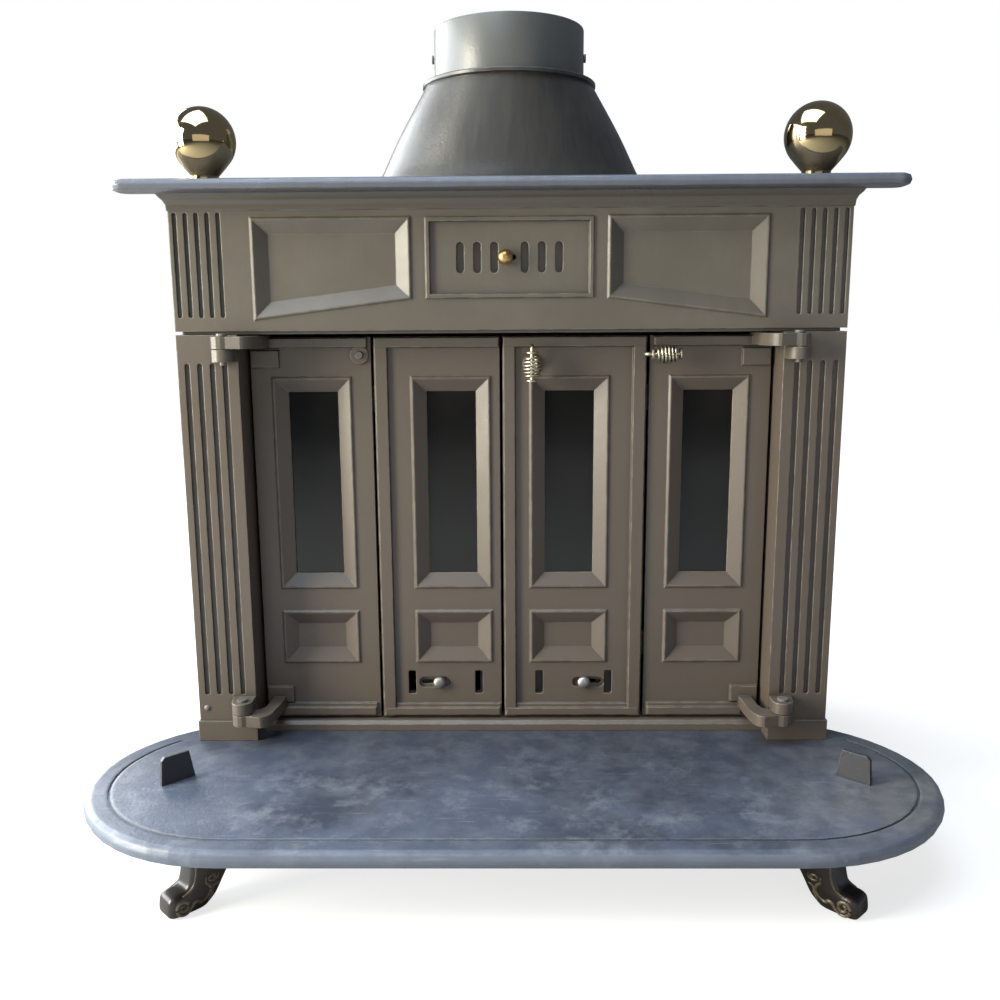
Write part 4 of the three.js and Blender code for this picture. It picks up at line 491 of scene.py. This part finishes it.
def brushed(tree, colour):
    """Faint upright brush drags and a few rusty freckles in the stove paint, which heat has
    browned below the frieze."""
    where = place(tree, "TexCoord").outputs["Object"]
    height = place(tree, "SeparateXYZ", {0: where}).outputs["Z"]
    colour = blended(tree, masked(tree, height, GREY_ABOVE, BROWN_BELOW, 0.0, 0.75), colour, BODY_BROWN)
    drags = place(tree, "Mapping", {"Vector": where, "Scale": (90.0, 90.0, 7.0)}).outputs[0]
    colour = blended(tree, masked(tree, noise(tree, drags, 1.0, 3.0), 0.4, 0.75, 0.0, 0.3), colour, BODY_DEEP)
    freckle = masked(tree, noise(tree, where, 130.0, 3.0, 0.7), 0.66, 0.74, 0.0, 0.35)
    return blended(tree, freckle, colour, BODY_FRECKLE)


# Painted highlight: the strong pale share on the corners stands for bright edge lines of light.
body_paint = painted("stove paint", BODY_GREY, BODY_DEEP, BODY_RUBBED_AND_HIGHLIGHT, 0.36, dust_amount=0.25,
                     wear_and_highlight=0.75, grime_and_shade=0.85, radius=0.0018, bump=0.22, marks=brushed)
finish_with(body_paint, "threshold_bar", "frieze", "back_plate", *both("pilaster", "side_plate"))


def turned(profile, around=48):
    """A profile of (radius, height) pairs carried round an upright axis."""
    profile = np.asarray(profile, dtype=float)
    angle = np.linspace(0.0, 2 * pi, around, endpoint=False)
    radius, height = profile[:, 0][:, None], profile[:, 1][:, None]
    return np.stack([radius * np.cos(angle), radius * np.sin(angle), height + 0 * angle], -1)


def facing_front(grid, x, front, z):
    """A turned shape laid over so that its axis points at the viewer, its height 0 at depth front."""
    return np.stack([x + grid[..., 0], front - grid[..., 2], z + grid[..., 1]], -1)


screw_steel = painted("screw steel", (0.16, 0.15, 0.14, 1.0), (0.07, 0.06, 0.055, 1.0),
                      (0.5, 0.49, 0.46, 1.0), 0.35, dust_amount=0.1, wear_and_highlight=0.9, radius=0.0008,
                      breakup=150.0)
SCREW_DOME = [(3.9, -0.4), (3.9, 0.5), (3.3, 1.3), (2.2, 1.9), (0.9, 2.15), (0.05, 2.2)]
surface("pilaster_screw", "body", "steel", screw_steel, facing_front(turned(SCREW_DOME, 20), *PILASTER_SCREW))

# ------------------------------------------------------------------ frieze grille
# Behind the slotted panel a sheet slide opens and shuts the upper air, moved by a brass ball
# knob on a stem through the middle slot.
GRILLE_KNOB = (-5.0, -51.0, 706.5)
KNOB_RADIUS = 9.2
KNOB_BALL = 13.8
METAL_GRAIN = 500.0
TARNISH_AND_SHADE = 0.6
finish_with(body_paint, "grille_slide")

turn = np.linspace(-1.2, pi / 2 - 0.02, 18)
knob_profile = [(3.4, 0.4), (3.4, 3.0), (2.9, 4.5)] + [
    (KNOB_RADIUS * cos(a), KNOB_BALL + KNOB_RADIUS * sin(a)) for a in turn]


def metal(name, ground, deep, roughness, worn_and_highlight, bump=0.06, radius=0.0006):
    """Bare polished metal: ground clouded with tarnish, dark in the hollows with tarnish and painted shade,
    and bright on the corners.
    """
    material = bpy.data.materials.new(name)
    material.use_nodes = True
    tree = material.node_tree
    shader = tree.nodes["Principled BSDF"]
    grain = put(tree, cast_grain, Size=METAL_GRAIN, Pits=0.1)
    edges = put(tree, edge_wear_light_shade, Radius=radius, Reach=0.006, Breakup=120.0)
    colour = blended(tree, masked(tree, grain["Mottle"], 0.35, 1.0, 0.0, 0.8), ground, deep)
    # Tarnish and painted shade darken the hollows.
    colour = blended(tree, times(tree, edges["GrimeAndShade"], TARNISH_AND_SHADE), colour, darker(deep, 0.3))
    colour = blended(tree, edges["WornAndHighlight"], colour, worn_and_highlight)
    relief = place(tree, "Bump", {"Strength": bump, "Distance": 0.0004, "Height": grain["Height"],
                                  "Normal": edges["Round"]})
    gloss = masked(tree, grain["Mottle"], 0.2, 1.0, roughness, roughness + 0.12)
    tree.links.new(colour, shader.inputs["Base Color"])
    tree.links.new(gloss, shader.inputs["Roughness"])
    tree.links.new(relief.outputs[0], shader.inputs["Normal"])
    shader.inputs["Metallic"].default_value = 1.0
    return material


knob_brass = metal("knob brass", (0.78, 0.54, 0.23, 1.0), (0.42, 0.26, 0.10, 1.0), 0.22,
                   (0.93, 0.76, 0.46, 1.0))
knob = surface("grille_brass_knob", "grille_vent", "brass", knob_brass,
               facing_front(turned(knob_profile, 40), *GRILLE_KNOB))
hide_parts("grille_knob")

# ------------------------------------------------------------------ mantel shelf
# A heavy cast shelf caps the body, its front and ends rolled and a cove below them. Its paint
# has a smoother skin than the front, and its blue is partly a painted reflection of blue sky light.
# The pale blue chips along the rolled edge are partly a painted highlight, and the cove is darkened
# with painted shade.
# Painted reflection and highlight: the blue ground and the pale blue chip colour stand partly for sky light.
SHELF_BLUE = (0.116, 0.130, 0.170, 1.0)
SHELF_DEEP = (0.090, 0.098, 0.122, 1.0)
SHELF_CHIPS_AND_HIGHLIGHT = (0.36, 0.40, 0.48, 1.0)
COVE_TOP = 0.7845
COVE_FADE = 0.006


def shelf_marks(tree, colour):
    """Brush drags, and painted shade: the front's warm grey, in its deep colour, in the cove below the rolled
    edge.
    """
    height = place(tree, "SeparateXYZ", {0: place(tree, "TexCoord").outputs["Object"]}).outputs["Z"]
    # Painted shade: the cove below the rolled edge takes the front's deep grey.
    cove = masked(tree, height, COVE_TOP, COVE_TOP - COVE_FADE)
    return blended(tree, cove, brushed(tree, colour), BODY_DEEP)


shelf_paint = painted("shelf paint", SHELF_BLUE, SHELF_DEEP, SHELF_CHIPS_AND_HIGHLIGHT, 0.30,
                      dust=(0.26, 0.26, 0.27, 1.0), dust_amount=0.2, wear_and_highlight=0.5, radius=0.002,
                      breakup=45.0, marks=shelf_marks)
finish_with(shelf_paint, "mantel_shelf")

# ------------------------------------------------------------------ ball finials
# Two hollow spun balls, plated and polished like mirrors, each on a tapered neck screwed to a
# front corner of the shelf. Their plate is brown-gold brass, darkened as a painted reflection of a
# dark room.
BALL_PLACE = (357.0, -57.0)
BALL_RADIUS = 38.2
SHELF_TOP = 794.8
BALL_TOP = 878.7
NECK = [(15.8, 0.0), (16.4, 0.6), (16.4, 5.4), (16.9, 6.8), (20.2, 10.4), (24.4, 15.2)]
NECK_TOP = 28.4

ball_middle = BALL_TOP - BALL_RADIUS - SHELF_TOP
low = -np.arccos(NECK_TOP / BALL_RADIUS)
ball_profile = NECK + [(BALL_RADIUS * cos(a), ball_middle + BALL_RADIUS * sin(a))
                       for a in np.linspace(low, pi / 2 - 0.01, 40)]
# Painted reflection: the plate's dark base colour stands for the dark room the balls mirror.
ball_plate = metal("plate with painted dark reflection", (0.40, 0.31, 0.17, 1.0), (0.20, 0.14, 0.07, 1.0), 0.06,
                   (0.8, 0.74, 0.6, 1.0), bump=0.03)
for side, hand in ((1.0, "right_"), (-1.0, "left_")):
    grid = turned(ball_profile, 72) + np.array((side * BALL_PLACE[0], BALL_PLACE[1], SHELF_TOP))
    ball = surface(hand + "ball", "body", "brass", ball_plate, grid)
    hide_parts(hand + "ball_finial")

# ------------------------------------------------------------------ flue boot, collar and damper
# The boot gathers the smoke from a long oval base to a round neck, and the collar, a plain pipe
# ring, stands in it. A disc on a cross spindle in the collar throttles the draught.
FLUE_MIDDLE = 154.0
FLUE_WALL = 6.0
BOOT_RINGS = [(0.0, 186.0, 132.0), (6.0, 186.0, 132.0), (34.0, 172.0, 126.0), (80.0, 149.0, 119.0),
              (141.0, 113.5, 111.0)]  # height, half width, half depth
BOOT_FOOT, BOOT_TOP = 794.8, 942.0
BOOT_MOUTH = 95.0
LIP_RADIUS = 116.0
COLLAR_RADIUS = 100.0
COLLAR_BORE = 94.0
COLLAR_FOOT, COLLAR_TOP = 942.3, 1010.0


def ovals(rings, around=144):
    """Ovals at heights, from rows of (height, half width, half depth), round the flue's middle."""
    rings = np.asarray(rings, dtype=float)
    angle = np.linspace(0.0, 2 * pi, around, endpoint=False)
    height, half_x, half_y = (rings[:, k][:, None] for k in range(3))
    return np.stack([half_x * np.cos(angle), FLUE_MIDDLE + half_y * np.sin(angle), height + 0 * angle], -1)


def eased_rings(rings, steps):
    """Rings filled in between: each size runs through its given values on cubics whose slopes are
    the averages beside each ring."""
    rings = np.asarray(rings, dtype=float)
    height, sizes = rings[:, 0], rings[:, 1:]
    slope = np.diff(sizes, axis=0) / np.diff(height)[:, None]
    slope = np.concatenate([slope[:1] * 0, (slope[:-1] + slope[1:]) / 2, slope[-1:]])
    z = np.linspace(height[0], height[-1], steps)
    k = np.clip(np.searchsorted(height, z, side="right") - 1, 0, len(height) - 2)
    step = (height[k + 1] - height[k])[:, None]
    t = (z - height[k])[:, None] / step
    out = ((2 * t ** 3 - 3 * t ** 2 + 1) * sizes[k] + (t ** 3 - 2 * t ** 2 + t) * step * slope[k]
           + (3 * t ** 2 - 2 * t ** 3) * sizes[k + 1] + (t ** 3 - t ** 2) * step * slope[k + 1])
    return np.concatenate([z[:, None], out], -1)


def shell(outside, inside):
    """A wall: the outside rings from the foot up, the inside rings from the top down, joined at both ends."""
    return np.concatenate([ovals(outside), ovals(inside)[::-1]])


outside = eased_rings(BOOT_RINGS, 40) + (BOOT_FOOT, 0.0, 0.0)
inside = outside - (0.0, FLUE_WALL, FLUE_WALL)
lip_rings = [(BOOT_TOP - 5.6, LIP_RADIUS - 1), (BOOT_TOP - 4.8, LIP_RADIUS), (BOOT_TOP - 1.2, LIP_RADIUS),
             (BOOT_TOP, LIP_RADIUS - 1.2), (BOOT_TOP, BOOT_MOUTH)]
outside = np.concatenate([outside, [(z, r, r) for z, r in lip_rings]])
boot_paint = painted("boot paint", (0.040, 0.038, 0.035, 1.0), (0.028, 0.027, 0.025, 1.0),
                     (0.26, 0.26, 0.25, 1.0), 0.32, dust_amount=0.15, wear_and_highlight=0.5, radius=0.0016,
                     marks=brushed)
boot = surface("boot_casting", "body", "painted_iron", boot_paint, shell(outside, inside),
               caps=False, closed=True)
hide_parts("flue_boot")
collar_rings = [(COLLAR_FOOT, COLLAR_RADIUS - 0.8), (COLLAR_FOOT + 0.8, COLLAR_RADIUS),
                (COLLAR_TOP - 1.5, COLLAR_RADIUS), (COLLAR_TOP - 0.4, COLLAR_RADIUS - 0.5),
                (COLLAR_TOP, COLLAR_RADIUS - 1.5)]
bore_rings = [(COLLAR_FOOT, COLLAR_BORE + 0.2), (COLLAR_TOP - 0.5, COLLAR_BORE), (COLLAR_TOP, COLLAR_BORE + 0.8)]
outside = [(z, r, r) for z, r in collar_rings]
inside = [(z, r, r) for z, r in bore_rings]
collar_paint = painted("collar paint", (0.090, 0.094, 0.090, 1.0), (0.068, 0.071, 0.067, 1.0),
                       (0.34, 0.35, 0.35, 1.0), 0.32, dust_amount=0.15, wear_and_highlight=0.6, radius=0.0016,
                       marks=brushed)
collar = surface("collar_ring", "body", "painted_iron", collar_paint, shell(outside, inside),
                 caps=False, closed=True)
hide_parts("flue_collar")
finish_with(soot_iron, "damper_plate")
finish_with(screw_steel, "damper_spindle")

# ------------------------------------------------------------------ door leaves
# Four cast leaves fold in two pairs across the mouth of the stove. Each has a glazed window over
# a small sunken panel, both with sloping borders, and the same grey paint as the body.
finish_with(body_paint, *both("outer_leaf", "inner_leaf"))
finish_with(soot_iron, *both("outer_retainer", "inner_retainer"))

# The panes are heat-proof glass, browned inside by smoke in clouds and upright smears. Their
# near-black grey tint is painted shade, standing for the unlit firebox seen through them.
GLASS_SHADE_GREY = (0.040, 0.038, 0.036, 1.0)
GLASS_SMOKED = (0.022, 0.017, 0.013, 1.0)
fire_glass = bpy.data.materials.new("smoked glass")
fire_glass.use_nodes = True
tree = fire_glass.node_tree
shader = tree.nodes["Principled BSDF"]
where = place(tree, "TexCoord").outputs["Object"]
smoke = masked(tree, noise(tree, where, 14.0, 5.0, 0.6), 0.35, 0.75)
streak = place(tree, "Mapping", {"Vector": where, "Scale": (70.0, 1.0, 6.0)}).outputs[0]
smear = masked(tree, noise(tree, streak, 1.0, 3.0), 0.45, 0.8, 0.0, 0.6)
stain = place(tree, "Math", {0: smoke, 1: smear}, operation="MAXIMUM").outputs[0]
# Painted shade: the dark grey tint darkens all that is seen through the glass.
tree.links.new(blended(tree, stain, GLASS_SHADE_GREY, GLASS_SMOKED), shader.inputs["Base Color"])
tree.links.new(masked(tree, stain, 0.0, 1.0, 0.03, 0.16), shader.inputs["Roughness"])
shader.inputs["IOR"].default_value = 1.5
shader.inputs["Specular IOR Level"].default_value = 0.22
shader.inputs["Transmission Weight"].default_value = 0.85
finish_with(fire_glass, *both("outer_glass", "inner_glass"))

# ------------------------------------------------------------------ hinge and fold pins
# The outer leaves hang on pins through cast lugs on the pilasters, and the inner leaves on
# smaller pins behind the folds. The pins are bare steel, rubbed bright at their heads.
finish_with(screw_steel, *both("upper_hinge_pin", "lower_hinge_pin", "upper_fold_pin", "lower_fold_pin"))

# ------------------------------------------------------------------ latches
# A turning spindle through each latch boss carries a tongue behind the leaf. Two of them have a
# handle: a bent rod with a barrel-shaped grip of bright coiled wire between two discs.
LEAF_FACE = -19.0
OUTER_LATCH = (187.5, 591.5)
INNER_LATCH = (27.0, 580.0)
HANDLE_ROD = 2.5
STANDOFF = 25.5
DISC = 7.4
DISC_THICKNESS = 2.0
GRIP_FROM, GRIP_TO = -15.0, 21.0
COIL_FROM, COIL_TO = GRIP_FROM + DISC_THICKNESS + 0.3, GRIP_TO - DISC_THICKNESS - 0.3
COIL_TURNS = 6
COIL_WIRE = 1.6
COIL_RADIUS, COIL_END_RADIUS, COIL_TIP_RADIUS = 10.2, 6.0, 7.6

handle_nickel = metal("handle nickel", (0.62, 0.57, 0.44, 1.0), (0.36, 0.30, 0.21, 1.0), 0.30,
                      (0.84, 0.81, 0.70, 1.0), radius=0.0004)


def coil_grip():
    """Wire wound round the rod: a half sine swells its radius to the full one from a line
    between the two end radii."""
    t = np.linspace(0.0, 1.0, COIL_TURNS * 28 + 1)
    straight = 2 * COIL_WIRE
    angle = 2 * pi * COIL_TURNS * t
    ends = COIL_END_RADIUS + (COIL_TIP_RADIUS - COIL_END_RADIUS) * t
    radius = ends + (COIL_RADIUS - ends) * np.sin(pi * t) ** 0.8
    along = COIL_FROM + straight + (COIL_TO - COIL_FROM - 2 * straight) * t
    path = np.stack([along, -STANDOFF + radius * np.cos(angle), radius * np.sin(angle)], -1)
    first, last = path[0].copy(), path[-1].copy()
    first[0], last[0] = COIL_FROM, COIL_TO
    return wire(np.concatenate([[first], path, [last]]), COIL_WIRE, 10)


def handle_disc(x):
    """A disc on the handle from x on, with both rims eased."""
    profile = turned([(DISC - 0.3, 0.0), (DISC, 0.3), (DISC, DISC_THICKNESS - 0.3),
                      (DISC - 0.3, DISC_THICKNESS)], 28)
    return np.stack([x + profile[..., 2], -STANDOFF + profile[..., 0], profile[..., 1]], -1)


def handle_rod():
    """The rod leaves the spindle, doubles back behind the grip and runs forward through it on
    the grip's axis. Beside it stands the spindle, a bar through the leaf."""
    way = [(0, -3, 0), (0, -6, 0), (-1, -11.0, 0), (-10, -11.2, 0), (-20, -12, 0), (-22.6, -19, 0),
           (-20.5, -STANDOFF, 0), (-13, -STANDOFF, 0), (0, -STANDOFF, 0), (GRIP_TO, -STANDOFF, 0)]
    spindle = turned([(4.5, 0.0), (4.5, 22.0), (4.1, 22.4)], 28)
    return [wire(bent(way, 9), HANDLE_ROD, 14),
            np.stack([spindle[..., 0], 17.5 - spindle[..., 2], spindle[..., 1]], -1)]


def latch_place(grid, place_at, upright):
    """Sets latch points at their spindle; an upright handle hangs down instead of lying level."""
    x, z = place_at
    along, height = (grid[..., 2], -grid[..., 0]) if upright else (grid[..., 0], grid[..., 2])
    return np.stack([x + along, LEAF_FACE + grid[..., 1], z + height], -1)


for hand, place_at, upright in (("right_latch", OUTER_LATCH, False), ("middle_latch", INNER_LATCH, True)):
    shapes = handle_rod() + [handle_disc(GRIP_FROM), handle_disc(GRIP_TO - DISC_THICKNESS)]
    rod = surface(hand + "_rod", hand, "nickel", handle_nickel,
                  *[latch_place(grid, place_at, upright) for grid in shapes])
    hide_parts(hand + "_handle")
    grip = surface(hand + "_grip", hand, "nickel", handle_nickel, latch_place(coil_grip(), place_at, upright))
    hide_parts(hand + "_coil")
slide_iron = painted("slide scale", (0.068, 0.062, 0.054, 1.0), (0.036, 0.033, 0.029, 1.0),
                     (0.15, 0.14, 0.13, 1.0), 0.55, dust_amount=0.2, wear_and_highlight=0.4)
finish_with(screw_steel, "left_latch_spindle")
finish_with(slide_iron, "right_latch_tongue", "left_latch_tongue", "middle_latch_tongue")

# ------------------------------------------------------------------ air slides
# Behind the vent slots of the inner leaves a strip of sheet slides sideways, moved by a steel
# button whose stem runs in a level groove.
BUTTON_PLACE = (95.0, 162.5)
BUTTON = [(2.4, -9.0), (2.4, 0.5), (6.8, 0.6), (8.2, 1.5), (8.5, 3.0), (8.0, 5.0), (6.6, 6.7),
          (4.2, 7.8), (1.8, 8.15), (0.05, 8.2)]  # radius, height above the leaf's face

finish_with(slide_iron, *both("air_slide"))
button_steel = metal("button steel", (0.42, 0.41, 0.39, 1.0), (0.20, 0.19, 0.175, 1.0), 0.42,
                     (0.62, 0.61, 0.58, 1.0))
for side, hand in ((1.0, "right_"), (-1.0, "left_")):
    grid = facing_front(turned(BUTTON, 32), side * BUTTON_PLACE[0], LEAF_FACE, BUTTON_PLACE[1])
    button = surface(hand + "air_button", hand + "draught", "steel", button_steel, grid)
    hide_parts(hand + "air_slide_knob")
